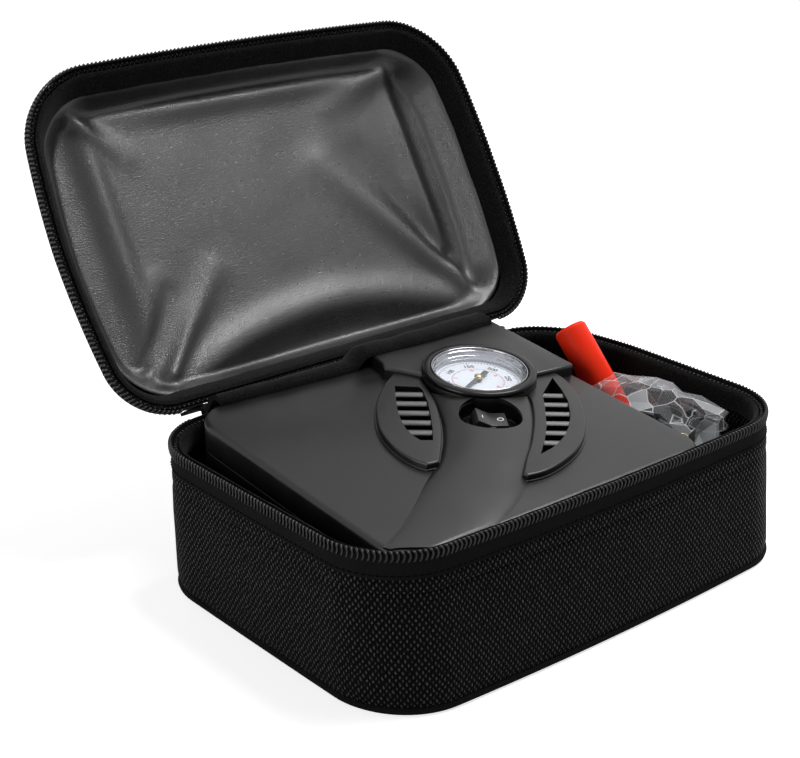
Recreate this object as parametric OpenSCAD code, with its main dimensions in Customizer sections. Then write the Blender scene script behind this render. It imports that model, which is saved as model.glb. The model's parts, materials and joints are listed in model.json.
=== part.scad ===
// Small 12 V tyre inflator that lives in a soft zip case.
// Millimetres, +Z up. The origin is on the table under the middle of the case's
// floor: X runs along the long side, the front wall faces -Y and the lid hinges at +Y.

/* [Case] */
// Width of the case at its zip line
case_w = 270; // [266:1:290]
// Depth of the case at its zip line
case_d = 180; // [177:1:200]
// Corner radius of the case seen from above
case_r = 32; // [26:1:36]
// Height of the lower half's zip line above the table
base_h = 77; // [76:0.5:88]
// How far the front wall bows out at its middle
front_bow = 7; // [4:0.5:10]
// How far each short wall of the lower half bows out
side_bow = 4; // [1:0.5:8]
// How far each short wall of the lid bows out
lid_bow = 7; // [4:0.5:10]
// How much further out the front wall stands at the floor
front_flare = 7; // [3:0.5:10]
// How much further in each short wall stands at the floor
side_tuck = 4; // [0:0.5:6]
// Thickness of the padded cloth wall
wall_t = 3; // [2:0.1:3.4]
// Thickness of the cloth floor
floor_t = 2; // [1.5:0.1:3]
// Thickness of the stiff floor board
board_t = 3; // [2:0.1:4]
// Diameter of the piping round the bottom edge
piping_d = 4; // [3:0.2:6]
// Thickness of the velour band inside the mouth
band_t = 3; // [1.5:0.1:3.2]
// Height of the velour band inside the mouth
band_h = 13; // [9:0.5:18]

/* [Lid] */
// Depth of the lid from its zip line to its top
lid_h = 33; // [31:0.5:40]
// Angle between the open lid and the shut lid
lid_open = 122; // [95:1:150]
// Distance of the hinge line behind the back wall
hinge_out = 4.2; // [4:0.1:6]
// Thickness of the hinge cloth
hinge_t = 1.8; // [1.2:0.1:2]
// Height of the hinge cloth on each half
hinge_h = 22; // [14:1:28]
// Least thickness of the padded lining panel
lining_t = 1.5; // [1:0.1:1.6]
// How much deeper the lining lies than the velour band
lining_drop = 12.6; // [10:0.1:12.8]
// How far the lining swells back towards the mouth
lining_swell = 3.2; // [0:0.1:4]
// Thickness of the lid's stiffener board
lid_board_t = 2; // [1:0.1:3]

/* [Zip] */
// Gap between the two rows of teeth of the shut case
zip_gap = 0.6; // [0.4:0.1:1.2]
// Height of the zip tape
tape_h = 13; // [10:0.5:16]
// Thickness of the zip tape
tape_t = 1.2; // [0.8:0.1:1.5]
// Height of one row of teeth
teeth_h = 6.2; // [4:0.1:7]
// How far the teeth stand out from the tape
teeth_t = 1.8; // [1.2:0.1:2.2]
// Distance from tooth to tooth
teeth_pitch = 2.4; // [2:0.1:5]
// Distance from the back corner's end to the end of the tape
tape_end = 7; // [4:0.5:12]
// Length of the pull tab
pull_l = 24; // [14:1:30]

/* [Compressor housing] */
// Gap between the case's left wall line and the compressor
unit_gap = 17; // [14:1:22]
// Gap between the case's front wall line and the compressor
unit_front = 4; // [3:0.5:6]
// Gap between the compressor and the case's back wall line
unit_back = 14; // [12:1:18]
// Width of the side bay between the compressor and the case's right wall line
bay_w = 60; // [56:1:66]
// Radius of the compressor's left corners
unit_rl = 20; // [16:1:24]
// Radius of the compressor's right corners
unit_rr = 12; // [8:1:16]
// Height of the top plate's plane at the origin
plate_z = 80; // [78:0.5:84]
// Slope of the top plate towards the front
plate_tilt = 6; // [4:0.5:7]
// Wall thickness of the two housing shells
shell_t = 2.5; // [2:0.1:3]
// Height of the upper cover's skirt
skirt_h = 14; // [10:0.5:18]
// Gap in the seam between the two shells
seam_gap = 0.3; // [0.1:0.1:0.6]
// Rounding of the top plate's edge
plate_round = 3; // [1:0.5:4]
// Height of the curved spine above the plate
spine_h = 5; // [3.5:0.5:6]
// Height of the gauge hood above the plate
hood_h = 6; // [5:0.5:8]
// Height of the vent grilles above the plate
grille_h = 3.6; // [2.5:0.1:4.5]
// Turn of the console towards the left front corner
console_turn = 34; // [30:1:38]
// Width of one louvre slot
slot_w = 4.4; // [3:0.2:5]
// Height of the rubber feet
foot_h = 3; // [2:0.2:4]
// Radius of the rubber feet
foot_r = 6; // [4:0.5:8]

/* [Gauge] */
// Gauge centre from the origin, to the right
gauge_x = 24; // [22:0.5:26]
// Gauge centre from the origin, to the back
gauge_y = 24; // [22:0.5:26]
// Outer radius of the black bezel
bezel_r = 29.5; // [28:0.5:30.5]
// Outer radius of the bright ring
chrome_r = 25; // [24:0.1:26]
// Radius of the visible dial
dial_r = 22.4; // [20:0.1:23]
// Height of the bright ring above the plate
chrome_top = 8.8; // [8.4:0.1:11]
// Depth of the gauge case below the plate
gauge_depth = 25; // [20:1:28]
// Length of the needle from hub to tip
needle_l = 17; // [12:0.5:19]
// Direction of the needle at zero, anticlockwise from +X
needle_zero = 201; // [190:1:215]

/* [Switch] */
// Centre of the switch recess, to the right
switch_x = -0.9; // [-2:0.1:0]
// Centre of the switch recess, to the back
switch_y = -12; // [-13:0.1:-11]
// Radius of the switch recess
recess_r = 16; // [15:0.1:16.5]
// Depth of the recess floor below the plate
recess_floor = 3; // [2.8:0.1:5]
// Length of the rocker
rocker_l = 17.3; // [15:0.1:18]
// Width of the rocker
rocker_w = 13.3; // [11:0.1:14]
// Rocker angle each side of its middle position
rocker_tilt = 10; // [6:0.5:12]

/* [Pump] */
// Gear module
gear_m = 1; // [0.9:0.05:1]
// Teeth on the drive gear
gear_teeth = 44; // [40:2:44]
// Teeth on the motor pinion
pinion_teeth = 10; // [10:2:12]
// Width of the drive gear
gear_w = 8; // [6:0.5:9]
// Play between the gear teeth
gear_play = 0.2; // [0.1:0.02:0.3]
// Height of the motor and gear axes above the compressor's underside
axis_up = 30; // [29:0.5:32]
// Gap between the motor and the housing's front wall
motor_front = 5.5; // [4:0.5:7]
// Gap between the motor's end cap and the housing's left wall
motor_side = 5.5; // [4:0.5:8]
// Radius of the motor can
motor_r = 18; // [16:0.5:19]
// Length of the motor can
motor_l = 53; // [46:1:54]
// Radius of the motor shaft
shaft_r = 1.6; // [1.2:0.1:2]
// Throw of the crank pin
crank_throw = 9; // [7:0.5:9]
// Radius of the crank pin
crank_pin_r = 3; // [2:0.1:3.5]
// Length of the connecting rod between centres
rod_l = 42; // [40:0.5:44]
// Thickness of the connecting rod
rod_t = 6; // [4:0.5:7]
// Bore radius of the cylinder
bore_r = 11; // [9:0.1:11.5]
// Radial clearance of everything that slides or turns in a bore
run_fit = 0.05; // [0.02:0.01:0.09]
// Radius of the cooling fins
fin_r = 18; // [16:0.5:18]
// Length of the cylinder head
head_l = 10; // [7:0.5:12]

/* [Accessories] */
// Radius of the red tube
tube_r = 9; // [7:0.5:9.5]
// Length of the red tube
tube_l = 75; // [70:1:78]
// Lean of the red tube towards the back
tube_lean = 41; // [38:1:43]
// Sheet thickness of the clear bag
film_t = 0.5; // [0.4:0.1:0.8]
// Height of the clear bag's top above the table
bag_top = 71; // [70:0.5:72]
// Height of the adaptor cones
cone_h = 58; // [50:1:60]
// Mouth radius of the large adaptor cone
cone_r = 13; // [10:0.5:13.5]

/* [Hidden] */
$fn = 48;

eps = 0.01;                                   // thickness of a slice that is hulled
seat = 0.05;                                  // gap between faces that rest on each other
arc_steps = 10;                               // steps round each case corner
side_steps = 8;                               // steps along each case wall
inside_t = wall_t + band_t;                   // wall and velour together
lid_z = base_h + zip_gap;                     // lid's zip line when shut
hinge_y = case_d / 2 + hinge_out;
hinge_z = base_h + zip_gap / 2;
bead_r = hinge_out - hinge_t - 0.3;           // roll of cloth on the hinge line
tape_x = case_w / 2 - case_r - tape_end;      // half width between the tape ends
slider_x = tape_x + 2.5;
slider_w = 8;
slider_y = case_d / 2 + tape_t + 0.1;
slider_t = 2.6;
pull_pin_r = 0.6;
pull_y = slider_y + slider_t + 1.4;
pull_z = base_h - 5;

board_z = floor_t + board_t;
unit_z = board_z + foot_h;                    // underside of the compressor
unit_x0 = -case_w / 2 + unit_gap;
unit_x1 = case_w / 2 - bay_w;
unit_y0 = -case_d / 2 + unit_front;
unit_y1 = case_d / 2 - unit_back;
axis_z = unit_z + axis_up;
cap_t = 5;                                    // thickness of the motor's end cap
motor_y = -(unit_y0 + shell_t + motor_front + motor_r);   // motor axis, in front of the origin
motor_x0 = unit_x0 + shell_t + motor_side + cap_t;        // back of the motor can
plate_x = motor_x0 + motor_l;                 // motor side of the bracket
tall = 60 + plate_z;                          // taller than anything in the case
screw_r = 1.5;
screw_xy = [[unit_x0 + unit_rl * 0.65, unit_y1 - unit_rl * 0.65], [unit_x1 - 10, unit_y1 - 10],
            [unit_x1 - 9, unit_y0 + 10], [plate_x + 12, unit_y0 + 9]];
boss_z = unit_z + 38;                         // joint of the two screw bosses
screw_grip = 14;                              // length of a housing screw in the cover's boss
boss_r = 5;

chrome_in = chrome_r - 1;                     // bore of the ring's skirt
gauge_case_r = chrome_in - 0.2;
lens_z = chrome_top - 2.7;
lens_t = 1.1;
dial_z = 0.6;
dial_t = 0.9;
spindle_r = 1;

pivot_z = -0.5;                               // rocker pivot above the plate
flange_l = rocker_l + 4.6;
flange_w = rocker_w + 3.7;
flange_t = 1.5;
switch_depth = 17;

gear_y = -motor_y + gear_m * (gear_teeth + pinion_teeth) / 2;
bracket_t = 4;
gear_x = plate_x + bracket_t + 1.5;
pin_x = gear_x + gear_w;                      // crank side of the gear
rod_x = pin_x + 6.8;
cyl_x = rod_x + rod_t / 2;
crank_y = gear_y + crank_throw;               // crank pin at top dead centre
gudgeon_y = crank_y + rod_l;
gudgeon_r = 2;
axle_r = 3;
wall_y = gear_y + gear_m * (gear_teeth + 2) / 2 + 2;  // wall that carries the cylinder
barrel_r = bore_r + 2.3;
cyl_end = gudgeon_y + 12;
crown_y = gudgeon_y + 8;
head_y = cyl_end + 0.2;
head_screw_r = (barrel_r + fin_r) / 2;
port_z = axis_z + 2;
tube_bore_r = 2.5;
stem_tip = -gauge_depth - 9;

outlet_y = head_y + head_l / 2;
gland_x = unit_x0 + 40;
gland_z = unit_z + 17;

// Middle of the gauge stem's lower end in the case's own axes
stem_y = gauge_y * cos(plate_tilt) - stem_tip * sin(plate_tilt);
stem_z = plate_z + gauge_y * sin(plate_tilt) + stem_tip * cos(plate_tilt);

lining_depth = lid_h - wall_t - lid_board_t - 0.6;   // from the lid's zip line to the lining's back

// A spot in the side bay, from the case's right wall line and its front wall line
function in_bay(x, y) = [case_w / 2 - x, -case_d / 2 + y];
tube_top = concat(in_bay(35, 126), [board_z + 89]);   // middle of the red tube's upper end
tube_side = -4.5;
cone_at = [in_bay(36, 56), in_bay(27, 31)];
brass_at = in_bay(41, 36);
needle_at = in_bay(18, 78);
bag_z = board_z + 0.3;
bag_corners = [[in_bay(bay_w - 13.5, 24.5), 11], [in_bay(32, 33), 20],
               [in_bay(22, 81), 12], [in_bay(bay_w - 13.5, 81), 11]];

// ---------- shared outlines ----------

function arc(cx, cy, r, a0, a1, n) =
    [for (i = [0:n]) let (a = a0 + (a1 - a0) * i / n) [cx + r * cos(a), cy + r * sin(a)]];

// Points between two ends, without the ends themselves
function between(p, q, n) = n < 2 ? [] : [for (i = [1:n - 1]) p + (q - p) * i / n];

// A rectangle with round corners, anticlockwise from the right end of the back corner
function round_rect(w, d, r, na, nx, ny) =
    let (x = w / 2 - r, y = d / 2 - r)
    concat(
        arc(x, y, r, 0, 90, na), between([x, d / 2], [-x, d / 2], nx),
        arc(-x, y, r, 90, 180, na), between([-w / 2, y], [-w / 2, -y], ny),
        arc(-x, -y, r, 180, 270, na), between([-x, -d / 2], [x, -d / 2], nx),
        arc(x, -y, r, 270, 360, na), between([w / 2, -y], [w / 2, y], ny));

// The same with its front and its short sides bowed outwards
function bowed(points, w, d, front, side) =
    [for (p = points)
        let (u = 2 * p[0] / w, v = 2 * p[1] / d)
        [p[0] + side * u * (1 - v * v), p[1] - front * max(0, -v) * (1 - u * u)]];

// Outline of the lower half at one height, set in by inset
function base_outline(z, inset, na = arc_steps, nx = side_steps, ny = side_steps) =
    let (f = 1 - z / base_h,
         w = case_w - 2 * side_tuck * f - 2 * inset,
         d = case_d + front_flare * f - 2 * inset)
    [for (p = bowed(round_rect(w, d, case_r - inset, na, nx, ny), w, d, front_bow, side_bow))
        p - [0, front_flare * f / 2]];

// Outline of the lid, set in by inset
function lid_outline(inset, na = arc_steps, nx = side_steps, ny = side_steps) =
    let (w = case_w - 2 * inset, d = case_d - 2 * inset)
    bowed(round_rect(w, d, case_r - inset, na, nx, ny), w, d, front_bow, lid_bow);

// Even step counts that put one tooth on every pitch of an arc or a wall
function teeth_on(length) = 2 * ceil(length / teeth_pitch);
teeth_na = teeth_on(case_r * PI / 2);
teeth_nx = teeth_on(case_w - 2 * case_r);
teeth_ny = teeth_on(case_d - 2 * case_r);

// Alternates between two outlines of equal length, which gives the row of teeth
function toothed(outer, inner) = [for (i = [0:len(outer) - 1]) i % 2 == 0 ? outer[i] : inner[i]];

// Cubic curve through p[0] and p[3] with handles p[1] and p[2]
function curve(p, n = 12) =
    [for (i = [0:n]) let (t = i / n, s = 1 - t)
        s * s * s * p[0] + 3 * s * s * t * p[1] + 3 * s * t * t * p[2] + t * t * t * p[3]];

function reversed(p) = [for (i = [len(p) - 1:-1:0]) p[i]];

module slice(points, z) {
    translate([0, 0, z])
        linear_extrude(eps)
            polygon(points);
}

// A solid between two outlines with as many points as each other
module loft(low, z0, high, z1) {
    n = len(low);
    points = concat([for (p = low) [p[0], p[1], z0]], [for (p = high) [p[0], p[1], z1]]);
    floor_face = [for (i = [0:n - 1]) i];
    roof_face = [for (i = [n - 1:-1:0]) n + i];
    wall_faces = [for (i = [0:n - 1])
        let (j = (i + 1) % n)
        each [[i, n + i, n + j], [i, n + j, j]]];
    polyhedron(points, concat([floor_face, roof_face], wall_faces));
}

// An upright band that clears every outline in the list inners
module band(outer, inners, z0, z1) {
    translate([0, 0, z0])
        linear_extrude(z1 - z0)
            difference() {
                polygon(outer);
                for (inner = inners)
                    polygon(inner);
            }
}

// Keeps what is outside the hinge side's middle, where there is no zip
module without_hinge_side(half) {
    difference() {
        children();
        translate([-half, 0, -eps])
            cube([2 * half, case_d, tall]);
    }
}

// Puts the lid's pieces, drawn shut, at their open place
module opened() {
    translate([0, hinge_y, hinge_z])
        rotate([-lid_open, 0, 0])
            translate([0, -hinge_y, -hinge_z])
                children();
}

// Frame of the sloping top plate: z = 0 is its upper face
module on_plate() {
    translate([0, 0, plate_z])
        rotate([plate_tilt, 0, 0])
            children();
}

// Frame of the gauge: its axis stands on the plate
module on_gauge() {
    on_plate()
        translate([gauge_x, gauge_y, 0])
            children();
}

// Frame of the switch: x along the rocker, y across it
module on_switch() {
    on_plate()
        translate([switch_x, switch_y, 0])
            rotate([0, 0, -console_turn])
                children();
}

// A rod along +X from x0 to x1
module rod_x(x0, x1, r, y, z) {
    translate([x0, y, z])
        rotate([0, 90, 0])
            cylinder(h = x1 - x0, r = r);
}

// A rod along +Y from y0 to y1
module rod_y(y0, y1, r, x, z) {
    translate([x, y0, z])
        rotate([-90, 0, 0])
            cylinder(h = y1 - y0, r = r);
}

// Draws a YZ outline and thickens it along +X
module along_x(x0, length) {
    translate([x0, 0, 0])
        rotate([90, 0, 90])
            linear_extrude(length)
                children();
}

// ---------- case, lower half ----------

module base_form(inset, z0, z1) {
    loft(base_outline(z0, inset), z0, base_outline(z1, inset), z1);
}

module base_shell() {
    color([0.07, 0.07, 0.075])
        difference() {
            base_form(0, 0, base_h - 1.5);
            base_form(wall_t, floor_t, base_h);
        }
}

module base_floor_board() {
    color([0.1, 0.1, 0.1])
        translate([0, 0, floor_t])
            linear_extrude(board_t)
                polygon(base_outline(floor_t, wall_t + 0.5));
}

module base_inner_band() {
    z0 = base_h - band_h;
    color([0.05, 0.05, 0.055])
        difference() {
            base_form(wall_t + seat, z0, base_h - 1.5);
            base_form(inside_t, z0 - 1, base_h);
        }
}

module base_bottom_piping() {
    z0 = 0.5;
    wall = [base_outline(z0, -seat), base_outline(z0 + piping_d, -seat)];
    color([0.06, 0.06, 0.065])
        for (layer = [[0, 0.3, 0.7], [0.3, 0.7, 1], [0.7, 1, 0.7]])
            band(base_outline(z0, -piping_d / 2 * layer[2]), wall,
                z0 + piping_d * layer[0], z0 + piping_d * layer[1]);
}

module base_zip_tape() {
    color([0.06, 0.06, 0.065])
        without_hinge_side(tape_x)
            difference() {
                base_form(-tape_t, base_h - tape_h, base_h);
                base_form(-seat, base_h - tape_h - 1, base_h + 1);
            }
}

module base_zip_teeth() {
    z0 = base_h - teeth_h;
    outer = base_outline(base_h, -tape_t - teeth_t, teeth_na, teeth_nx, teeth_ny);
    mid = base_outline(base_h, -tape_t - teeth_t / 2, teeth_na, teeth_nx, teeth_ny);
    tape = [base_outline(base_h, -tape_t - seat), base_outline(z0, -tape_t - seat)];
    color([0.1, 0.1, 0.105])
        without_hinge_side(slider_x + slider_w + 1)
            band(toothed(outer, mid), tape, z0, base_h);
}

module hinge_band() {
    color([0.06, 0.06, 0.065]) {
        translate([-tape_x + 1, case_d / 2 + seat, base_h - hinge_h])
            cube([2 * tape_x - 2, hinge_t, hinge_h - bead_r]);
        translate([-tape_x + 1, case_d / 2 + seat, base_h - 2 * bead_r])
            cube([2 * tape_x - 2, hinge_out, bead_r]);
        rod_x(-tape_x + 1, tape_x - 1, bead_r, hinge_y, hinge_z);
    }
}

module zip_slider() {
    color([0.12, 0.12, 0.125]) {
        translate([slider_x, slider_y, base_h - 9.5])
            cube([slider_w, slider_t, 8]);
        for (x = [0.8, slider_w - 2])
            translate([slider_x + x, slider_y + slider_t, pull_z - 1.2])
                cube([1.2, 2.2, 2.4]);
        rod_x(slider_x + 0.8, slider_x + slider_w - 0.8, pull_pin_r, pull_y, pull_z);
    }
}

module pull_tab() {
    w = slider_w - 4.6;
    color([0.14, 0.14, 0.145])
        difference() {
            union() {
                rod_x(slider_x + (slider_w - w) / 2, slider_x + (slider_w + w) / 2, 1.2, pull_y, pull_z);
                translate([slider_x + (slider_w - w) / 2, pull_y - 0.6, pull_z - 10])
                    cube([w, 1.2, 10]);
                translate([slider_x + 0.5, pull_y - 0.6, pull_z - pull_l])
                    cube([slider_w - 1, 1.2, pull_l - 8]);
            }
            rod_x(slider_x, slider_x + slider_w, pull_pin_r + run_fit, pull_y, pull_z);
        }
}

module zip_stops() {
    color([0.12, 0.12, 0.125])
        for (x = [-tape_x - 2.4, tape_x + 0.2])
            translate([x, slider_y, base_h - teeth_h])
                cube([2.2, teeth_t, teeth_h - 1]);
}

// ---------- case, lid ----------

module lid_form(inset, z0) {
    hull() {
        slice(lid_outline(inset), z0);
        slice(lid_outline(inset + 0.8), lid_z + lid_h - inset - 7);
        slice(lid_outline(inset + 3), lid_z + lid_h - inset - 2);
        slice(lid_outline(inset + 8), lid_z + lid_h - inset - eps);
    }
}

module lid_shell() {
    color([0.07, 0.07, 0.075])
        opened()
            difference() {
                lid_form(0, lid_z + 1.5);
                lid_form(wall_t, lid_z);
            }
}

module lid_board() {
    color([0.12, 0.12, 0.12])
        opened()
            translate([0, 0, lid_z + lining_depth + 0.3])
                linear_extrude(lid_board_t)
                    polygon(lid_outline(wall_t + 9));
}

// 0 below a, 1 above b, and a smooth rise between them
function smooth_step(a, b, x) = let (t = min(1, max(0, (x - a) / (b - a)))) t * t * (3 - 2 * t);

// Folds of the lining on the shut lid: start, end, half width and height.
// Each is full at its start and has faded to a quarter at its end.
folds = [[[case_w / 2 - 23, case_d / 2 - 20], [42, -22], 9, 1.8],
         [[case_w / 2 - 31, case_d / 2 - 45], [72, -22], 8, -1.2],
         [[23 - case_w / 2, case_d / 2 - 18], [-86, 22], 6, 1.3],
         [[27 - case_w / 2, case_d / 2 - 28], [-82, 28], 5, -1.2],
         [[38 - case_w / 2, case_d / 2 - 20], [-50, 22], 6, 1.5],
         [[30 - case_w / 2, 18 - case_d / 2], [-78, -48], 6, 1.2],
         [[case_w / 2 - 17, 16 - case_d / 2], [58, -56], 7, 1.2]];
arch_x = 10;                                  // middle of the lining's arch at the hinge side
function arch_y(x) = case_d / 2 - 36 + 22 * pow((x - arch_x) / 100, 2);

function fold_height(p) = [for (f = folds)
    let (along = f[1] - f[0],
         t = min(1, max(0, (p - f[0]) * along / (along * along))),
         away = norm(p - f[0] - along * t) / (f[2] * (0.7 + 0.6 * t)))
    f[3] * exp(-away * away) * (1 - 0.75 * t)] * [for (f = folds) 1];

// Long ridges beside the four edges, and the arch
function ridge_height(p) =
    1.4 * exp(-pow((p[1] - arch_y(p[0])) / 11, 2))
    + 0.9 * exp(-pow((p[1] + case_d / 2 - 21) / 6, 2) - pow((p[0] - 5) / 70, 4))
    + 1.2 * exp(-pow((p[0] + case_w / 2 - 36) / 7, 2) - pow((p[1] + 20) / 60, 4))
    + 0.8 * exp(-pow((p[0] - case_w / 2 + 32) / 5, 2) - pow(p[1] / 70, 4));

// Height of the lining above its deepest level: a padded field, folds and ridges
function lining_height(p) =
    lining_swell * smooth_step(20 - case_w / 2, 37 - case_w / 2, p[0])
        * smooth_step(20 - case_w / 2, 34 - case_w / 2, -p[0])
        * smooth_step(7 - case_d / 2, 21 - case_d / 2, p[1])
        * smooth_step(-20, -2, arch_y(p[0]) - p[1])
    + fold_height(p) + ridge_height(p);

// The padded front of the lining as rings of points, from its rim to its middle
module lining_front() {
    rim = lid_outline(wall_t + 1 + lining_t, 6, 8, 6);
    n = len(rim);
    shares = [1, 0.975, 0.95, 0.92, 0.88, 0.83, 0.76, 0.67, 0.56, 0.42, 0.24];
    last = len(shares) - 1;
    points = concat(
        [for (p = rim) [p[0], p[1], lid_z + band_h - 1]],
        [for (s = shares, p = rim)
            let (fall = smooth_step(0, 0.09, 1 - s))
            [s * p[0], s * p[1], lid_z + band_h + fall * (lining_drop - lining_height(s * p))]],
        [[0, 0, lid_z + band_h + lining_drop - lining_height([0, 0])]]);
    floor_face = [for (i = [0:n - 1]) i];
    ring_faces = [for (k = [0:last], i = [0:n - 1])
        let (a = k * n + i, b = k * n + (i + 1) % n)
        each [[a, a + n, b + n], [a, b + n, b]]];
    middle_faces = [for (i = [0:n - 1]) [(last + 1) * n + i, len(points) - 1, (last + 1) * n + (i + 1) % n]];
    polyhedron(points, concat([floor_face], ring_faces, middle_faces));
}

module lid_lining() {
    color([0.2, 0.2, 0.21])
        opened()
            difference() {
                hull() {
                    slice(lid_outline(wall_t + 1), lid_z + band_h);
                    slice(lid_outline(wall_t + 5), lid_z + lining_depth - 4);
                    slice(lid_outline(wall_t + 10), lid_z + lining_depth - eps);
                }
                lining_front();
            }
}

module lid_inner_band() {
    color([0.05, 0.05, 0.055])
        opened()
            band(lid_outline(wall_t + 0.6), [lid_outline(inside_t)], lid_z + 1.2, lid_z + band_h - 0.3);
}

module lid_hinge_band() {
    color([0.06, 0.06, 0.065])
        opened()
            translate([-tape_x + 1, case_d / 2 + seat, lid_z + 0.4])
                cube([2 * tape_x - 2, hinge_t - seat, hinge_h]);
}

module lid_zip_tape() {
    color([0.06, 0.06, 0.065])
        opened()
            without_hinge_side(tape_x)
                band(lid_outline(-tape_t), [lid_outline(-seat)], lid_z, lid_z + tape_h);
}

module lid_zip_teeth() {
    outer = lid_outline(-tape_t - teeth_t, teeth_na, teeth_nx, teeth_ny);
    mid = lid_outline(-tape_t - teeth_t / 2, teeth_na, teeth_nx, teeth_ny);
    color([0.1, 0.1, 0.105])
        opened()
            without_hinge_side(slider_x + slider_w + 1)
                band(toothed(outer, mid), [lid_outline(-tape_t - seat)], lid_z, lid_z + teeth_h);
}

// ---------- compressor housing ----------

function unit_outline(inset) =
    let (x0 = unit_x0 + inset, x1 = unit_x1 - inset, y0 = unit_y0 + inset, y1 = unit_y1 - inset,
         rl = unit_rl - inset, rr = unit_rr - inset)
    concat(
        arc(x1 - rr, y1 - rr, rr, 0, 90, 8), arc(x0 + rl, y1 - rl, rl, 90, 180, 8),
        arc(x0 + rl, y0 + rl, rl, 180, 270, 8), arc(x1 - rr, y0 + rr, rr, 270, 360, 8));

module unit_prism(inset, z0) {
    translate([0, 0, z0])
        linear_extrude(tall)
            polygon(unit_outline(inset));
}

// A slab parallel to the plate, between two depths below it
module plate_slab(z0, z1) {
    on_plate()
        translate([-case_w, -case_d, z0])
            cube([2 * case_w, 2 * case_d, z1 - z0]);
}

module lower_housing() {
    color([0.13, 0.13, 0.135])
        difference() {
            union() {
                difference() {
                    unit_prism(0, unit_z);
                    unit_prism(shell_t, unit_z + shell_t);
                    plate_slab(-skirt_h - seam_gap, tall);
                }
                for (p = screw_xy)
                    translate([p[0], p[1], unit_z])
                        cylinder(h = boss_z - unit_z, r = boss_r);
            }
            for (p = screw_xy)
                translate([p[0], p[1], unit_z - 1]) {
                    cylinder(h = tall, r = screw_r + 0.2);
                    cylinder(h = 3.4, r = 3.4);
                }
            outlet_hole(4.1);
            gland_hole(5.1);
        }
}

spine_left = curve([[-8, 29], [-30, -15], [-62, -38], [unit_x0 + 2, unit_y0 + 16]]);
spine_right = curve([[45, -4], [20, -34], [-30, -78], [unit_x0 + 23, unit_y0]]);
spine_points = concat(spine_left, reversed(spine_right), [[52, 12], [24, 30]]);
hood_points = [[52, 4], [unit_x1 - 3, 4], [unit_x1 - 0.5, 6.5], [unit_x1 - 0.5, unit_y1 - 4],
               [unit_x1 - 4, unit_y1 - 0.5], [-10, unit_y1 - 0.5], [-17, 53], [-12, 44], [10, 20]];
left_vent_points = concat(
    curve([[-12, 38], [-48, 32], [-66, -5], [-56, -34]]),
    curve([[-53, -32], [-36, -20], [-22, -2], [-10, 28]]));
right_vent_points = concat(
    curve([[47, -3], [35, -20], [8, -42], [-22, -64]]),
    curve([[-25, -68], [22, -68], [58, -28], [62, 6]]));
left_slots = [[-24.5, 21, 13], [-30, 13, 16], [-35, 4, 16], [-39.5, -2.5, 15], [-43, -10, 12]];
right_slots = [[36.5, -18, 11], [31.5, -26, 13], [24.5, -34, 13], [17.5, -40.5, 11], [9.5, -46.5, 11]];

// A raised shape with a softened top edge
module raised(points, h, soften) {
    linear_extrude(h - soften)
        polygon(points);
    linear_extrude(h)
        offset(delta = -soften)
            polygon(points);
}

module slots(list, h) {
    for (s = list)
        translate([s[0], s[1], -1])
            rotate([0, 0, -console_turn])
                translate([-s[2] / 2, -slot_w / 2, 0])
                    cube([s[2], slot_w, h]);
}

module upper_cover() {
    color([0.16, 0.16, 0.165])
        difference() {
            union() {
                difference() {
                    intersection() {
                        unit_prism(0, unit_z);
                        plate_slab(-skirt_h, -plate_round);
                    }
                    intersection() {
                        unit_prism(shell_t, unit_z);
                        plate_slab(-tall, -shell_t);
                    }
                }
                on_plate() {
                    difference() {
                        hull() {
                            slice(unit_outline(0), -plate_round);
                            slice(unit_outline(plate_round * 0.3), -plate_round * 0.3);
                            slice(unit_outline(plate_round), -eps);
                        }
                        translate([0, 0, -plate_round - 1])
                            linear_extrude(plate_round - shell_t + 1)
                                polygon(unit_outline(shell_t));
                    }
                    intersection() {
                        raised(spine_points, spine_h, 1.2);
                        linear_extrude(spine_h)
                            polygon(unit_outline(1.2));
                    }
                    raised(hood_points, hood_h, 1.5);
                    translate([gauge_x, gauge_y, 0])
                        cylinder(h = hood_h, r = bezel_r + 1.5);
                    translate([switch_x, switch_y, -recess_floor - 2])
                        cylinder(h = recess_floor + 1, r = recess_r + 2);
                }
                intersection() {
                    for (p = screw_xy)
                        translate([p[0], p[1], boss_z + seam_gap])
                            cylinder(h = tall, r = boss_r);
                    plate_slab(-tall, -1);
                }
            }
            on_plate() {
                translate([gauge_x, gauge_y, -tall / 2])
                    cylinder(h = tall, r = chrome_r + 0.2);
                translate([switch_x, switch_y, -recess_floor])
                    cylinder(h = tall, r = recess_r);
                slots(left_slots, 30);
                slots(right_slots, 30);
                translate([0, 0, -29]) {
                    slots(left_slots, 30);
                    slots(right_slots, 30);
                }
            }
            on_switch()
                translate([-rocker_l / 2 - 0.95, -rocker_w / 2 - 0.95, -20])
                    cube([rocker_l + 1.9, rocker_w + 1.9, 30]);
            for (p = screw_xy)
                translate([p[0], p[1], boss_z])
                    cylinder(h = 20, r = screw_r + 0.05);
        }
}

module vent_grille(points, list) {
    on_plate()
        translate([0, 0, seat])
            difference() {
                raised(points, grille_h, 0.9);
                slots(list, 30);
                translate([switch_x, switch_y, -1])
                    cylinder(h = tall, r = recess_r + 1);
                translate([gauge_x, gauge_y, -1])
                    cylinder(h = tall, r = bezel_r + 1.7);
                linear_extrude(tall)
                    offset(delta = 0.2)
                        polygon(spine_points);
                linear_extrude(tall)
                    offset(delta = 0.2)
                        polygon(hood_points);
            }
}

module left_vent_grille() {
    color([0.15, 0.15, 0.155])
        vent_grille(left_vent_points, left_slots);
}

module right_vent_grille() {
    color([0.15, 0.15, 0.155])
        vent_grille(right_vent_points, right_slots);
}

module outlet_hole(r) {
    rod_x(unit_x1 - 10, unit_x1 + 10, r, outlet_y, port_z);
}

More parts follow.
